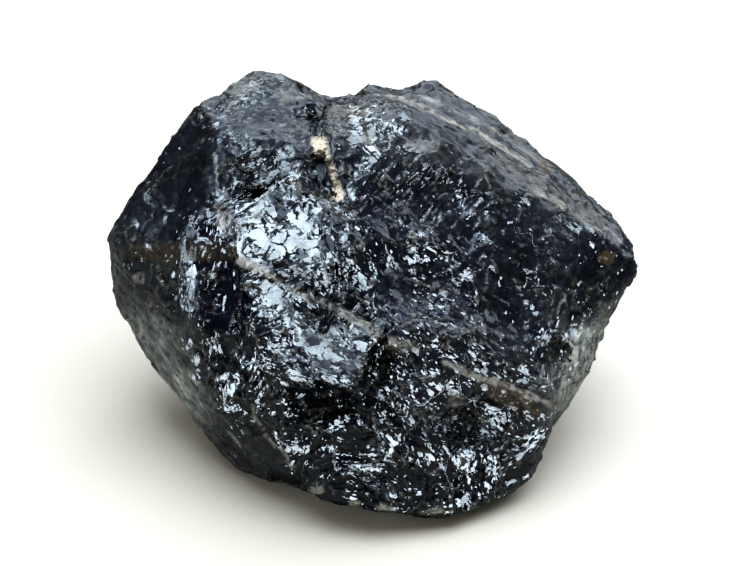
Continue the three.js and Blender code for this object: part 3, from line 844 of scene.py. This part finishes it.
SMOKY = (
    Spot((64.3, 7.3), (2.1, 1.8), 0, 1.0),
    Spot((37.1, -32.2), (9, 2.8), -28, 0.8),
    Spot((46.9, 32.5), (1.6, 2.0), 0, 0.9),
    Spot((-54, 8.5), (18, 2.6), 0, 0.4),
    Spot((48, 26), (20, 2.6), -32, 0.3),
    Spot((-8, 48), (6, 3), 0, 0.5),
    Spot((5.5, -17.5), (4.5, 2.2), 0, 0.5),
)
STRIPED = (
    Striae(Spot((-56, -26), (9, 24), 38), -52, 1.6, 0.35),
    Striae(Spot((-34, 30), (6, 6)), 25, 1.5, 0.3),
    Striae(Spot((8, 26), (12, 10)), 48, 1.6, 0.25),
    Striae(Spot((-18, -8), (14, 4), -35), -37, 1.5, 0.3),
)


@dataclass(frozen=True)
class Grainline:
    """How the fine breaks run about a place of the front.

    Attributes:
        across: millimetres to the right of the middle.
        up: millimetres above the middle.
        angle: degrees by which the breaks climb to the right.
        stretch: how much longer they are than wide.
        bend: millimetres from the place up to the centre that they bend round, or 0 where they are straight.
    """

    across: float
    up: float
    angle: float
    stretch: float
    bend: float = 0.0

    def course(self, seen: np.ndarray) -> np.ndarray:
        """Places measured along and beside the breaks, with the length drawn in.

        Args:
            seen: rows of across, up and out.

        Returns:
            Rows of along, beside and out.
        """
        angle = math.radians(self.angle)
        off = seen[:, :2] - np.array([self.across, self.up])
        along = off[:, 0] * math.cos(angle) + off[:, 1] * math.sin(angle)
        beside = off[:, 1] * math.cos(angle) - off[:, 0] * math.sin(angle)
        if self.bend:
            from_centre = beside - self.bend
            beside = np.hypot(along, from_centre)
            along = abs(self.bend) * np.arctan2(along, np.abs(from_centre))
        return np.stack([along / self.stretch + self.across, beside + self.up, seen[:, 2]], axis=1)


GRAINLINES = (
    Grainline(-28, 12, 20, 1.3),
    Grainline(-33, 30, 25, 3.0),
    Grainline(-24, 22, -60, 1.5),
    Grainline(-15, -8, -37, 3.0),
    Grainline(-30, -4, 15, 1.5),
    Grainline(-12, -20, -30, 2.0),
    Grainline(-25, -22, -25, 2.2),
    Grainline(5, 26, 48, 2.0),
    Grainline(22, 20, 35, 1.6),
    Grainline(20, 6, -25, 1.8),
    Grainline(40, -5, 80, 1.6),
    Grainline(-5, 8, -60, 2.0),
    Grainline(-57, 22, 60, 2.0),
    Grainline(-48, 34, 40, 2.0),
    Grainline(-45, 5, 85, 3.0),
    Grainline(-62, -2, 75, 2.0),
    Grainline(-43, -20, 80, 3.0),
    Grainline(-38, -30, 72, 3.0),
    Grainline(-55, -28, -52, 4.0),
    Grainline(-35, -46, -40, 2.0),
    Grainline(-28, 46, -12, 2.0),
    Grainline(-35, 56, 20, 1.5),
    Grainline(0, 44, -30, 1.4),
    Grainline(20, 45, -25, 2.5),
    Grainline(42, 33, -33, 2.5),
    Grainline(60, 18, -38, 2.2),
    Grainline(63, 4, 60, 1.6),
    Grainline(57, -18, 75, 2.5),
    Grainline(12, -24, -38, 2.5),
    Grainline(33, -30, -30, 3.0),
    Grainline(20, -38, -30, 1.4),
    Grainline(37, -40, -32, 2.6),
    Grainline(-25, -40, 15, 2.6),
    Grainline(-20, -47, 50, 2.4),
    Grainline(-6, -46, -5, 3.0, 14),
    Grainline(3, -40, -50, 2.2),
    Grainline(15, -46, -62, 3.2),
    Grainline(26, -54, -75, 2.0),
    Grainline(40, -47, 28, 3.0),
    Grainline(-5, -56, -12, 2.4),
    Grainline(12, -58, -5, 2.0),
)


def course_of(points: np.ndarray, seen: np.ndarray) -> np.ndarray:
    """The fine breaks' own places: each point's place along and beside the breaks nearest to it.

    Args:
        points: rows of x, y, z in millimetres.
        seen: the points as across, up and out.

    Returns:
        Rows of along, beside and out.
    """
    nearest = np.full(len(points), np.inf)
    course = points / np.array([1.0, 1.0, 1.5])
    ragged = np.stack([ripple(points, 5.0, 2.2), ripple(points, 5.0, 6.1)], axis=1) * 3.0
    for line in GRAINLINES:
        off = seen[:, :2] + ragged - np.array([line.across, line.up])
        square = (off * off).sum(axis=1)
        course = np.where((square < nearest)[:, None], line.course(seen), course)
        nearest = np.minimum(square, nearest)
    hidden = (seen[:, 2] < HIDDEN_FROM)[:, None]
    return np.where(hidden, points / np.array([1.0, 1.0, 1.5]), course)


@dataclass(frozen=True)
class Wires:
    """A tree of shader nodes, with short ways to add to it."""

    tree: bpy.types.ShaderNodeTree

    def feed(self, socket: Socket, value: Feed) -> None:
        """Links a socket to a value, or sets it to a number, a direction or a colour."""
        if isinstance(value, Socket):
            self.tree.links.new(value, socket)
        else:
            socket.default_value = value

    def maths(self, operation: str, *values: Feed, clamped: bool = False) -> Socket:
        """A sum of single values.

        Args:
            operation: Blender's name for the sum.
            values: what it takes, in turn.
            clamped: whether the result is held from 0 to 1.

        Returns:
            The result.
        """
        node = self.tree.nodes.new("ShaderNodeMath")
        node.operation = operation
        node.use_clamp = clamped
        for socket, value in zip(node.inputs, values):
            self.feed(socket, value)
        return node.outputs[0]

    def directions(self, operation: str, *values: Feed) -> Socket:
        """A sum of directions.

        Args:
            operation: Blender's name for the sum.
            values: what it takes, in turn.

        Returns:
            The result.
        """
        node = self.tree.nodes.new("ShaderNodeVectorMath")
        node.operation = operation
        for socket, value in zip(node.inputs, values):
            self.feed(socket, value)
        return node.outputs[0]

    def scaled(self, way: Socket, amount: Socket) -> Socket:
        """A direction times a value."""
        node = self.tree.nodes.new("ShaderNodeVectorMath")
        node.operation = "SCALE"
        self.feed(node.inputs[0], way)
        self.feed(node.inputs["Scale"], amount)
        return node.outputs[0]

    def mixed(self, kind: str, share: Socket, first: Feed, second: Feed) -> Socket:
        """Blends two colours or two directions.

        Args:
            kind: RGBA for colours, VECTOR for directions.
            share: how much of the second there is.
            first: the one.
            second: the other.

        Returns:
            The blend.
        """
        node = self.tree.nodes.new("ShaderNodeMix")
        node.data_type = kind
        self.feed(node.inputs["Factor"], share)
        self.feed(node.inputs["A"], first)
        self.feed(node.inputs["B"], second)
        return node.outputs["Result"]

    def carried(self, what: Mark | Course) -> Socket:
        """A marking or a direction that the skin carries."""
        node = self.tree.nodes.new("ShaderNodeAttribute")
        node.attribute_name = what.value
        return node.outputs["Vector" if isinstance(what, Course) else "Fac"]

    def spread(self, value: Socket, start: Place, end: Place) -> Socket:
        """Carries a value from one range to another and holds it at the ends.

        Args:
            value: the value.
            start: the range it comes from.
            end: the range it goes to.

        Returns:
            The value in its new range.
        """
        node = self.tree.nodes.new("ShaderNodeMapRange")
        node.inputs["From Min"].default_value, node.inputs["From Max"].default_value = start
        node.inputs["To Min"].default_value, node.inputs["To Max"].default_value = end
        self.feed(node.inputs["Value"], value)
        return node.outputs["Result"]

    def grain(self, where: Socket, scale: float, low: float, high: float) -> Socket:
        """Fine noise spread between two values.

        Args:
            where: the places that the noise runs over.
            scale: swells to one unit of them.
            low: the least value.
            high: the greatest value.

        Returns:
            The value.
        """
        node = self.tree.nodes.new("ShaderNodeTexNoise")
        node.inputs["Scale"].default_value = scale
        node.inputs["Detail"].default_value = GRAIN_DETAIL
        node.inputs["Roughness"].default_value = GRAIN_ROUGHNESS
        self.feed(node.inputs["Vector"], where)
        return self.spread(node.outputs["Fac"], GRAIN_RANGE, (low, high))


class FacetGroup:
    """A node group that leans a normal by tiny facets, some of them turned one way to flash together."""

    name = "tiny_facets"
    taken = (
        ("Coordinates", "Vector"),
        ("Scale", "Float"),
        ("Amount", "Float"),
        ("Normal", "Vector"),
        ("Aim", "Vector"),
        ("Share", "Float"),
        ("Turn", "Vector"),
        ("Sheen", "Float"),
    )
    given = (("Normal", "Vector"), ("Turned", "Vector"), ("Chosen", "Float"))

    def build(self) -> bpy.types.ShaderNodeTree:
        """Makes the group once.

        Returns:
            The group: Coordinates, Scale, Amount and Normal in, with the directions Aim and Turn and the
            shares Share and Sheen of the facets that take them; out come the leaned Normal, the direction
            Turned that chosen facets take, and whether a facet is Chosen.
        """
        group = bpy.data.node_groups.new(self.name, "ShaderNodeTree")
        for side, sockets in (("INPUT", self.taken), ("OUTPUT", self.given)):
            for name, kind in sockets:
                group.interface.new_socket(name, in_out=side, socket_type=f"NodeSocket{kind}")
        wires = Wires(group)
        start = group.nodes.new("NodeGroupInput").outputs
        end = group.nodes.new("NodeGroupOutput").inputs
        cells = group.nodes.new("ShaderNodeTexVoronoi")
        wires.feed(cells.inputs["Vector"], start["Coordinates"])
        wires.feed(cells.inputs["Scale"], start["Scale"])
        lean = wires.directions("SUBTRACT", cells.outputs["Color"], (0.5, 0.5, 0.5))
        total = wires.directions("ADD", start["Normal"], wires.scaled(lean, start["Amount"]))
        split = group.nodes.new("ShaderNodeSeparateColor")
        wires.feed(split.inputs[0], cells.outputs["Color"])
        turned, picks = start["Normal"], []
        for way, share, chance, stray in (("Turn", "Sheen", 2, 0.4), ("Aim", "Share", 1, 0.09)):
            near = wires.directions("MULTIPLY_ADD", lean, (stray, stray, stray), start[way])
            chosen = wires.maths("LESS_THAN", split.outputs[chance], start[share])
            turned = wires.mixed("VECTOR", chosen, turned, near)
            picks.append(chosen)
        wires.feed(end["Normal"], wires.directions("NORMALIZE", total))
        wires.feed(end["Turned"], turned)
        wires.feed(end["Chosen"], wires.maths("MAXIMUM", *picks))
        return group


@dataclass(frozen=True)
class TinyFacets:
    """One size of the tiny facets.

    Attributes:
        size: millimetres across one.
        lean: how far they lean where the break is hackly.
        aimed: share of them that are turned to a lamp in a glint.
        sheen: share of them that are turned to the overhead lamp in a sheen.
        blocky: whether the chosen ones keep to blocky places.
    """

    size: float
    lean: float
    aimed: float
    sheen: float
    blocky: bool = False


@dataclass(frozen=True)
class Morion:
    """Glassy black quartz.

    Attributes:
        black: colour of the clean break.
        cloud: colour of the faint clouds in it.
        haze_and_painted_reflection: pale grey where the break is hazy, which on the left rim and the right
            undercut is a painted reflection of the bright floor.
        milk: colour of the veins.
        crust: colour of the chalky crust.
        smoke: colour where the black thins to brown.
        chip: colour of chipped thin edges.
        crack: colour of the thin cracks.
        ior: how strongly the stone bends light.
        gloss: roughness of the clean break.
        dull: how much rougher the satin places are.
        facets: the tiny facets, from small to large.
    """

    black: Tone = (0.0012, 0.0016, 0.004, 1)
    cloud: Tone = (0.0055, 0.0075, 0.0165, 1)
    haze_and_painted_reflection: Tone = (0.36, 0.39, 0.385, 1)
    milk: Tone = (0.185, 0.183, 0.174, 1)
    crust: Tone = (0.40, 0.375, 0.33, 1)
    smoke: Tone = (0.06, 0.046, 0.03, 1)
    chip: Tone = (0.26, 0.27, 0.24, 1)
    crack: Tone = (0.003, 0.003, 0.004, 1)
    ior: float = 1.544
    gloss: float = 0.12
    dull: float = 0.55
    facets: tuple[TinyFacets, ...] = (
        TinyFacets(0.5, 0.22, 0.4, 0.2),
        TinyFacets(1.1, 0.34, 0.5, 0.3),
        TinyFacets(2.5, 0.42, 0.9, 0.6, blocky=True),
    )

    def material(self) -> bpy.types.Material:
        """Builds the material.

        Returns:
            The finished material.
        """
        made = bpy.data.materials.new("morion")
        made.use_nodes = True
        wires = Wires(made.node_tree)
        shader = made.node_tree.nodes["Principled BSDF"]
        shader.inputs["IOR"].default_value = self.ior
        place = made.node_tree.nodes.new("ShaderNodeTexCoord").outputs["Object"]
        wires.feed(shader.inputs["Base Color"], self._colour(wires, place))
        wires.feed(shader.inputs["Roughness"], self._roughness(wires, place))
        wires.feed(shader.inputs["Normal"], self._relief(wires, place))
        return made

    def _colour(self, wires: Wires, place: Socket) -> Socket:
        """The black, clouded a little with blue grey, under its markings.

        Args:
            wires: the material's nodes.
            place: object coordinates.

        Returns:
            The colour.
        """
        colour = wires.mixed("RGBA", wires.grain(place, 110, 0.0, 1.0), self.black, self.cloud)
        flow = wires.carried(Course.FLOW)
        # each marking with its colour, how ragged it is, and the places and scale of the noise in it
        overlays = (
            # the haze overlay is partly painted light: a pale reflection of the floor where it is strong
            (Mark.HAZE_AND_PAINTED_REFLECTION, self.haze_and_painted_reflection, 0.9, flow, 0.8),
            (Mark.SMOKE, self.smoke, 0.7, flow, 0.7),
            (Mark.CHIP, self.chip, 0.8, place, 1100),
            (Mark.MILK, self.milk, 1.5, flow, 0.55),
            (Mark.CRUST, self.crust, 0.75, place, 1300),
        )
        for mark, tone, ragged, where, scale in overlays:
            value = wires.carried(mark)
            breaks = wires.grain(where, scale, -ragged, ragged)
            share = wires.maths("MULTIPLY_ADD", value, breaks, value, clamped=True)
            colour = wires.mixed("RGBA", share, colour, tone)
            if mark is Mark.HAZE_AND_PAINTED_REFLECTION:
                colour = wires.mixed("RGBA", self._cracks(wires), colour, self.crack)
        return colour

    def _cracks(self, wires: Wires) -> Socket:
        """Thin broken cracks between the flats.

        Args:
            wires: the material's nodes.

        Returns:
            A value from 0 to 1.
        """
        flow = wires.carried(Course.FLOW)
        stray = wires.tree.nodes.new("ShaderNodeTexNoise")
        stray.inputs["Scale"].default_value = 0.45
        stray.inputs["Detail"].default_value = 3
        wires.feed(stray.inputs["Vector"], flow)
        edges = wires.tree.nodes.new("ShaderNodeTexVoronoi")
        edges.feature = "DISTANCE_TO_EDGE"
        edges.inputs["Scale"].default_value = 0.24
        moved = wires.directions("MULTIPLY_ADD", stray.outputs["Color"], (3.0, 3.0, 3.0), flow)
        wires.feed(edges.inputs["Vector"], moved)
        line = wires.spread(edges.outputs["Distance"], (0.03, 0.09), (1.0, 0.0))
        gaps = wires.spread(stray.outputs["Fac"], (0.45, 0.55), (0.0, 1.0))
        return wires.maths("MULTIPLY", wires.maths("MULTIPLY", line, gaps), wires.carried(Mark.BLOCKY))

    def _roughness(self, wires: Wires, place: Socket) -> Socket:
        """Roughness: glassy on the clean break, dull on crust, veins and cracks.

        Args:
            wires: the material's nodes.
            place: object coordinates.

        Returns:
            The roughness.
        """
        value = wires.grain(place, 180, self.gloss * 0.5, self.gloss * 1.8)
        shares = [(wires.carried(mark), share) for mark, share in self.dulled()]
        for socket, share in [*shares, (self._cracks(wires), 0.8)]:
            value = wires.maths("MULTIPLY_ADD", socket, share, value, clamped=True)
        return value

    def dulled(self) -> tuple[tuple[Mark, float], ...]:
        """The markings that dull the break, and how much."""
        return ((Mark.SATIN, self.dull), (Mark.MILK, 0.35), (Mark.CHIP, 0.3), (Mark.CRUST, 0.7))

    def _relief(self, wires: Wires, place: Socket) -> Socket:
        """Tiny facets in three sizes, most where the break is hackly, and fine grain on top.

        Args:
            wires: the material's nodes.
            place: object coordinates.

        Returns:
            The normal.
        """
        nodes = wires.tree.nodes
        group = FacetGroup().build()
        flow = wires.carried(Course.FLOW)
        aim, turn = wires.carried(Course.AIM), wires.carried(Course.TURN)
        normal = nodes.new("ShaderNodeNewGeometry").outputs["Normal"]
        clumps = wires.grain(flow, 0.22, -1.0, 2.1)
        coarse = wires.maths("MULTIPLY", wires.carried(Mark.HACKLY), 1.1)
        layers = []
        for facet in self.facets:
            facets = nodes.new("ShaderNodeGroup")
            facets.node_tree = group
            wires.feed(facets.inputs["Coordinates"], flow)
            wires.feed(facets.inputs["Aim"], aim)
            wires.feed(facets.inputs["Turn"], turn)
            wires.feed(facets.inputs["Scale"], 1 / facet.size)
            wires.feed(facets.inputs["Normal"], normal)
            for mark, share, socket in (
                (Mark.HACKLY, facet.lean, "Amount"),
                (Mark.GLINT, facet.aimed, "Share"),
                (Mark.SHEEN, facet.sheen, "Sheen"),
            ):
                strength = wires.maths("MULTIPLY", wires.carried(mark), share)
                if facet.blocky and mark is not Mark.HACKLY:
                    strength = wires.maths("MULTIPLY", strength, wires.carried(Mark.BLOCKY))
                elif mark is Mark.GLINT:
                    strength = wires.maths("MULTIPLY", strength, clumps)
                    strength = wires.maths("MULTIPLY", strength, coarse if facet.size > 1 else 1.3)
                wires.feed(facets.inputs[socket], strength)
            normal = facets.outputs["Normal"]
            layers.append(facets)
        for facets in layers:
            normal = wires.mixed("VECTOR", facets.outputs["Chosen"], normal, facets.outputs["Turned"])
        bump = nodes.new("ShaderNodeBump")
        bump.inputs["Strength"].default_value = 1.0
        bump.inputs["Distance"].default_value = 0.000008
        wires.feed(bump.inputs["Height"], wires.grain(place, 1400, 0.0, 1.0))
        wires.feed(bump.inputs["Normal"], wires.directions("NORMALIZE", normal))
        return bump.outputs["Normal"]


@dataclass
class QuartzBlock:
    """The block's visible skin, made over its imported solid.

    Attributes:
        node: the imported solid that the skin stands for.
        rounds: how many times long edges are halved.
        front_edge: the longest edge of the front's mesh, in millimetres.
        hidden_edge: the longest edge of the rest.
        layers: hackly flats, from large to small.
        ripples: shell-shaped ripples of the front.
        grain: height of the finest unevenness, in millimetres.
        base_calm: millimetres above the resting face in which the break dies out.
    """

    node: str = "quartz_block"
    rounds: int = 4
    front_edge: float = 0.94
    hidden_edge: float = 2.4
    layers: tuple[Flats, ...] = (
        Flats(8.5, 0.35, 1.0, 0.5, 15, 1.1, 0.35, 3),
        Flats(3.4, 0.8, 0.5, 0.5, 28, 0.8, 0.25, 11),
        Flats(2.0, 0.0, 0.0, 0.3, 48, 0.8, 0.1, 17, sparse=True),
    )
    ripples: tuple[Ripples, ...] = (
        Ripples((-9, -64, 10), (5, 22), 2.2, 0.4),
        Ripples((20, -30, 25), (8, 26), 2.6, 0.3),
        Ripples((-18, -16, 24), (3, 12), 2.0, 0.35),
        Ripples((40, 20, -6), (10, 44), 3.4, 0.12),
    )
    grain: float = 0.02
    base_calm: float = 1.6
    piece: bpy.types.Object = field(init=False)
    bright: np.ndarray = field(init=False)

    def build(self) -> bpy.types.Object:
        """Builds the skin, breaks it up and dresses it.

        Returns:
            The finished piece.
        """
        self.piece = self._divided_copy()
        self._break_up()
        self._paint()
        self.piece.data.materials.clear()
        self.piece.data.materials.append(Morion().material())
        self._sharpen()
        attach(self.piece, "root")
        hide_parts(self.node)
        return self.piece

    def _divided_copy(self) -> bpy.types.Object:
        """A copy of the solid with its long edges halved, finest on the front.

        Returns:
            The copy, linked to the scene.
        """
        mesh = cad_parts[self.node].data.copy()
        mesh.name = "morion_block"
        form = bmesh.new()
        form.from_mesh(mesh)
        bmesh.ops.remove_doubles(form, verts=form.verts, dist=0.01 * MM)
        for _ in range(self.rounds):
            long = [edge for edge in form.edges if edge.calc_length() > self._longest(edge) * MM]
            bmesh.ops.subdivide_edges(form, edges=long, cuts=1, use_grid_fill=True)
            bmesh.ops.triangulate(form, faces=form.faces)
            self._drop_doubled(form)
        form.to_mesh(mesh)
        form.free()
        piece = bpy.data.objects.new("morion_block", mesh)
        bpy.context.scene.collection.objects.link(piece)
        return piece

    def _drop_doubled(self, form: bmesh.types.BMesh) -> None:
        """Takes out the doubled flat faces that halving leaves where three points lie in a line.

        Args:
            form: the divided mesh.
        """
        alike: dict[frozenset[int], list[bmesh.types.BMFace]] = {}
        form.verts.index_update()
        for face in form.faces:
            alike.setdefault(frozenset(point.index for point in face.verts), []).append(face)
        doubled = [face for faces in alike.values() if len(faces) > 1 for face in faces]
        bmesh.ops.delete(form, geom=doubled, context="FACES")

    def _longest(self, edge: bmesh.types.BMEdge) -> float:
        """The longest that an edge may be where it lies, in millimetres."""
        middle = (edge.verts[0].co + edge.verts[1].co) / 2
        facing = any(face.normal.dot(PICTURE.eye() * MM - middle) > 0 for face in edge.link_faces)
        return self.front_edge if facing else self.hidden_edge

    def _points(self) -> np.ndarray:
        """The skin's points in millimetres."""
        flat = np.zeros(len(self.piece.data.vertices) * 3)
        self.piece.data.vertices.foreach_get("co", flat)
        return flat.reshape(-1, 3) / MM

    def _normals(self) -> np.ndarray:
        """The skin's outward directions."""
        flat = np.zeros(len(self.piece.data.vertices) * 3)
        self.piece.data.vertices.foreach_get("normal", flat)
        return flat.reshape(-1, 3)

    def _lie(self) -> np.ndarray:
        """The way the skin faces at each point, whatever its finer breaks."""
        return unit(self._spread_out(self._normals(), LIE_ROUNDS))

    def _spread_out(self, rows: np.ndarray, rounds: int) -> np.ndarray:
        """Averages rows over neighbouring points.

        Args:
            rows: one row for each point.
            rounds: how many times.

        Returns:
            The averaged rows.
        """
        ends = np.zeros(len(self.piece.data.edges) * 2, dtype=np.int32)
        self.piece.data.edges.foreach_get("vertices", ends)
        first, second = ends.reshape(-1, 2).T
        count = 1 + np.bincount(first, minlength=len(rows)) + np.bincount(second, minlength=len(rows))
        for _ in range(rounds):
            columns = []
            for column in rows.T:
                total = np.bincount(first, weights=column[second], minlength=len(rows))
                total += np.bincount(second, weights=column[first], minlength=len(rows))
                columns.append((total + column) / count)
            rows = np.stack(columns, axis=1)
        return rows

    def _move_to(self, points: np.ndarray) -> None:
        """Puts the skin's points at places in millimetres, held inside the solid's box."""
        low, high = (np.array(corner) for corner in CAD_BOX)
        held = np.clip(points * MM, low, high)
        self.piece.data.vertices.foreach_set("co", held.ravel())
        self.piece.data.update()

    def _zone_values(self, points: np.ndarray) -> np.ndarray:
        """How the break is at each point.

        Args:
            points: rows of x, y, z in millimetres.

        Returns:
            Rows of aimed, spread, hackly, satin and haze, the last with its painted floor reflection.
        """

        def values(zone: Zone) -> np.ndarray:
            """A zone's numbers."""
            return np.array([zone.aimed, zone.spread, zone.hackly, zone.satin, zone.haze_and_painted_reflection])

        seen = PICTURE.into(points)
        total = np.zeros((len(points), 5))
        weights = np.zeros(len(points))
        for zone in ZONES:
            square = (seen[:, 0] - zone.across) ** 2 + (seen[:, 1] - zone.up) ** 2
            weight = 1 / (square * square + ZONE_CORE)
            total += weight[:, None] * values(zone)
            weights += weight
        front = total / weights[:, None]
        behind = smooth((HIDDEN_FROM - seen[:, 2]) / ZONE_FADE)[:, None]
        return front * (1 - behind) + values(HIDDEN_ZONE) * behind

    def _break_up(self) -> None:
        """Breaks the skin into hackly flats, ripples, ridges and grain."""
        points = self._points()
        seen = PICTURE.into(points)
        stray = ripple(points, 1.6, 9.1)
        calm = smooth(points[:, 2] / self.base_calm)
        zones = self._zone_values(points)[:, :3]
        zones[:, 2] = 0
        glints = np.max([spot.mask(seen, stray) for spot in GLINTS], axis=0)
        zones[:, 0] = np.maximum(zones[:, 0], glints)
        for layer in self.layers:
            normals = self._normals()
            facing = unit(self._spread_out(normals, FACING_ROUNDS))
            height, zones[:, 2] = layer.heights(points, normals, facing, zones)
            points = points + normals * (height * calm)[:, None]
            self._move_to(points)
            log.info("flats of %.1f mm laid", layer.spacing)
        height = sum(each.heights(points) for each in self.ripples)
        height = height + sum(each.heights(points, seen, stray) for each in STRIPED)
        height = height + self.grain * ripple(points, 1.3, 4.4)
        self._move_to(points + self._normals() * (height * calm)[:, None])
        self.bright = zones[:, 2]

    def _edge_wear(self, points: np.ndarray) -> np.ndarray:
        """How far each point stands out from its neighbours, as a share of a chipped edge.

        Args:
            points: rows of x, y, z in millimetres.

        Returns:
            Values from 0 to 1.
        """
        proud = np.einsum("ij,ij->i", points - self._spread_out(points, WEAR_ROUNDS), self._normals())
        return smooth((proud - WEAR_FROM) / WEAR_OVER)

    def _paint(self) -> None:
        """Writes the markings as point attributes."""
        points = self._points()
        seen = PICTURE.into(points)
        front = smooth((seen[:, 2] - HIDDEN_FROM) / MARK_FADE)
        stray = ripple(points, 1.6, 9.1) + 0.5 * ripple(points, 0.7, 2.2)
        zones = self._zone_values(points)
        aim, turn = nearest_lamp(points, self._lie())

        def shown(marks: tuple[Spot | Streak, ...]) -> np.ndarray:
            """Where any of some markings shows on the front."""
            return np.max([mark.mask(seen, stray) for mark in marks], axis=0) * front

        sheets = np.max([sheet.mask(points) for sheet in SHEETS], axis=0) * (1 - front)
        broken = 0.75 + 0.5 * ripple(points, 3.5, 6.6) + 0.25 * stray
        worn = self._edge_wear(points) * np.clip(0.35 + 0.8 * ripple(points, 6, 5.5), 0, 1)
        values = {
            Mark.MILK: np.maximum(sheets, shown(MILKY)) * broken,
            Mark.CRUST: shown(CRUST),
            Mark.SMOKE: shown(SMOKY),
            Mark.CHIP: np.maximum(worn * 0.4, shown(CHIPPED)),
            # the haze carries a painted reflection of the floor on the left rim and the right undercut
            Mark.HAZE_AND_PAINTED_REFLECTION: zones[:, 4] * (0.6 + 0.5 * ripple(points, 4, 3.1)),
            Mark.HACKLY: zones[:, 2] * (1 - 0.3 * self.bright),
            Mark.SATIN: zones[:, 3],
            Mark.GLINT: self._glint_shares(seen, stray, zones[:, 0], turn) * front,
            Mark.SHEEN: shown(SHEENS),
            Mark.BLOCKY: np.maximum(shown(BLOCKY_PLACES), LEAST_BLOCKY),
        }
        for mark, value in values.items():
            attribute = self.piece.data.attributes.new(mark.value, "FLOAT", "POINT")
            attribute.data.foreach_set("value", np.clip(value, 0, 1).astype(np.float32))
        for course, rows in (
            (Course.FLOW, course_of(points, seen)),
            (Course.AIM, aim),
            (Course.TURN, caught_from(OVERHEAD_LAMP, points)),
        ):
            attribute = self.piece.data.attributes.new(course.value, "FLOAT_VECTOR", "POINT")
            attribute.data.foreach_set("vector", rows.astype(np.float32).ravel())

    def _glint_shares(
        self, seen: np.ndarray, stray: np.ndarray, aimed: np.ndarray, turn: np.ndarray
    ) -> np.ndarray:
        """The share of the tiny facets that flash at each point.

        Args:
            seen: the points as across, up and out.
            stray: raggedness of the patches' edges.
            aimed: the zones' share of flats that catch a lamp.
            turn: degrees from the skin to where it would catch a lamp.

        Returns:
            Values from 0 to 1.
        """
        glints = np.max([spot.mask(seen, stray) for spot in GLINTS], axis=0)
        in_patches = glints * smooth((GLINT_FARTHEST - turn) / TURN_FADE)
        between = aimed * smooth((STRAY_FARTHEST - turn) / TURN_FADE)
        return np.maximum(in_patches, between)

    def _sharpen(self) -> None:
        """Shades the break smooth, apart from its sharp edges."""
        mesh = self.piece.data
        mesh.polygons.foreach_set("use_smooth", [True] * len(mesh.polygons))
        mesh.set_sharp_from_angle(angle=math.radians(SHARP_ANGLE))


@dataclass
class Studio:
    """The pale floor, the soft lamps and the camera.

    Attributes:
        focal_share: the lens's focal length as a share of the picture's width.
        lamps: the soft lamps.
        surround: brightness of the dim room as the block mirrors it.
        fill: brightness of the room as it lights the floor and the dull parts.
        ground: colour of the floor.
        mirrored: colour of the floor as the block mirrors it.
    """

    focal_share: float = 2000 / 755
    lamps: tuple[Lamp, ...] = (
        KEY_LAMP,
        FRONT_LAMP,
        OVERHEAD_LAMP,
        Lamp("back", (0.34, 0.74, 0.59), 1.5, (3.2, 1.1), 2.6, (0.80, 0.90, 1.0)),
        Lamp("low", (-0.90, -0.35, 0.25), 1.5, (1.2, 0.8), 2.4, (1.0, 1.0, 0.97), mirrored=False),
        Lamp("canopy", (0.19, 0.06, 0.98), 1.2, (1.3, 1.3), 5.6, (0.96, 0.98, 1.0), mirrored=False),
    )
    surround: Tone = (0.036, 0.038, 0.042, 1)
    fill: Tone = (0.35, 0.325, 0.25, 1)
    ground: Tone = (0.46, 0.455, 0.44, 1)
    mirrored: Tone = (0.20, 0.21, 0.20, 1)

    def build(self) -> None:
        """Builds the studio."""
        self._floor()
        for lamp in self.lamps:
            lamp.build()
        self._surround()
        self._camera()

    def _floor(self) -> None:
        """Lays the pale floor."""
        form = bmesh.new()
        bmesh.ops.create_grid(form, x_segments=1, y_segments=1, size=3.0)
        mesh = bpy.data.meshes.new("floor")
        form.to_mesh(mesh)
        form.free()
        floor = bpy.data.objects.new("floor", mesh)
        bpy.context.scene.collection.objects.link(floor)
        finish = bpy.data.materials.new("floor")
        finish.use_nodes = True
        wires = Wires(finish.node_tree)
        shader = finish.node_tree.nodes["Principled BSDF"]
        glossy = finish.node_tree.nodes.new("ShaderNodeLightPath").outputs["Is Glossy Ray"]
        wires.feed(shader.inputs["Base Color"], wires.mixed("RGBA", glossy, self.ground, self.mirrored))
        shader.inputs["Roughness"].default_value = 0.8
        mesh.materials.append(finish)

    def _surround(self) -> None:
        """Dims the room about the block."""
        world = bpy.data.worlds.new("room")
        world.use_nodes = True
        wires = Wires(world.node_tree)
        background = world.node_tree.nodes["Background"]
        glossy = world.node_tree.nodes.new("ShaderNodeLightPath").outputs["Is Glossy Ray"]
        wires.feed(background.inputs["Color"], wires.mixed("RGBA", glossy, self.fill, self.surround))
        bpy.context.scene.world = world

    def _camera(self) -> None:
        """Sets the camera at the photograph's place."""
        lens = bpy.data.cameras.new("camera")
        lens.sensor_width = 36.0
        lens.lens = 36.0 * self.focal_share
        lens.clip_start = 0.01
        camera = bpy.data.objects.new("camera", lens)
        bpy.context.scene.collection.objects.link(camera)
        camera.location = PICTURE.eye() * MM
        camera.rotation_euler = (math.pi / 2 - PICTURE.elevation, 0, 0)
        bpy.context.scene.camera = camera
        bpy.context.scene.view_settings.view_transform = "Standard"
        bpy.context.scene.view_settings.look = "High Contrast"


def main() -> None:
    """Builds the studio and the block."""
    logging.basicConfig(level=logging.INFO)
    Studio().build()
    log.info("studio built")
    piece = QuartzBlock().build()
    log.info("%s built: %d faces", piece.name, len(piece.data.polygons))


if __name__ == "__main__":
    main()
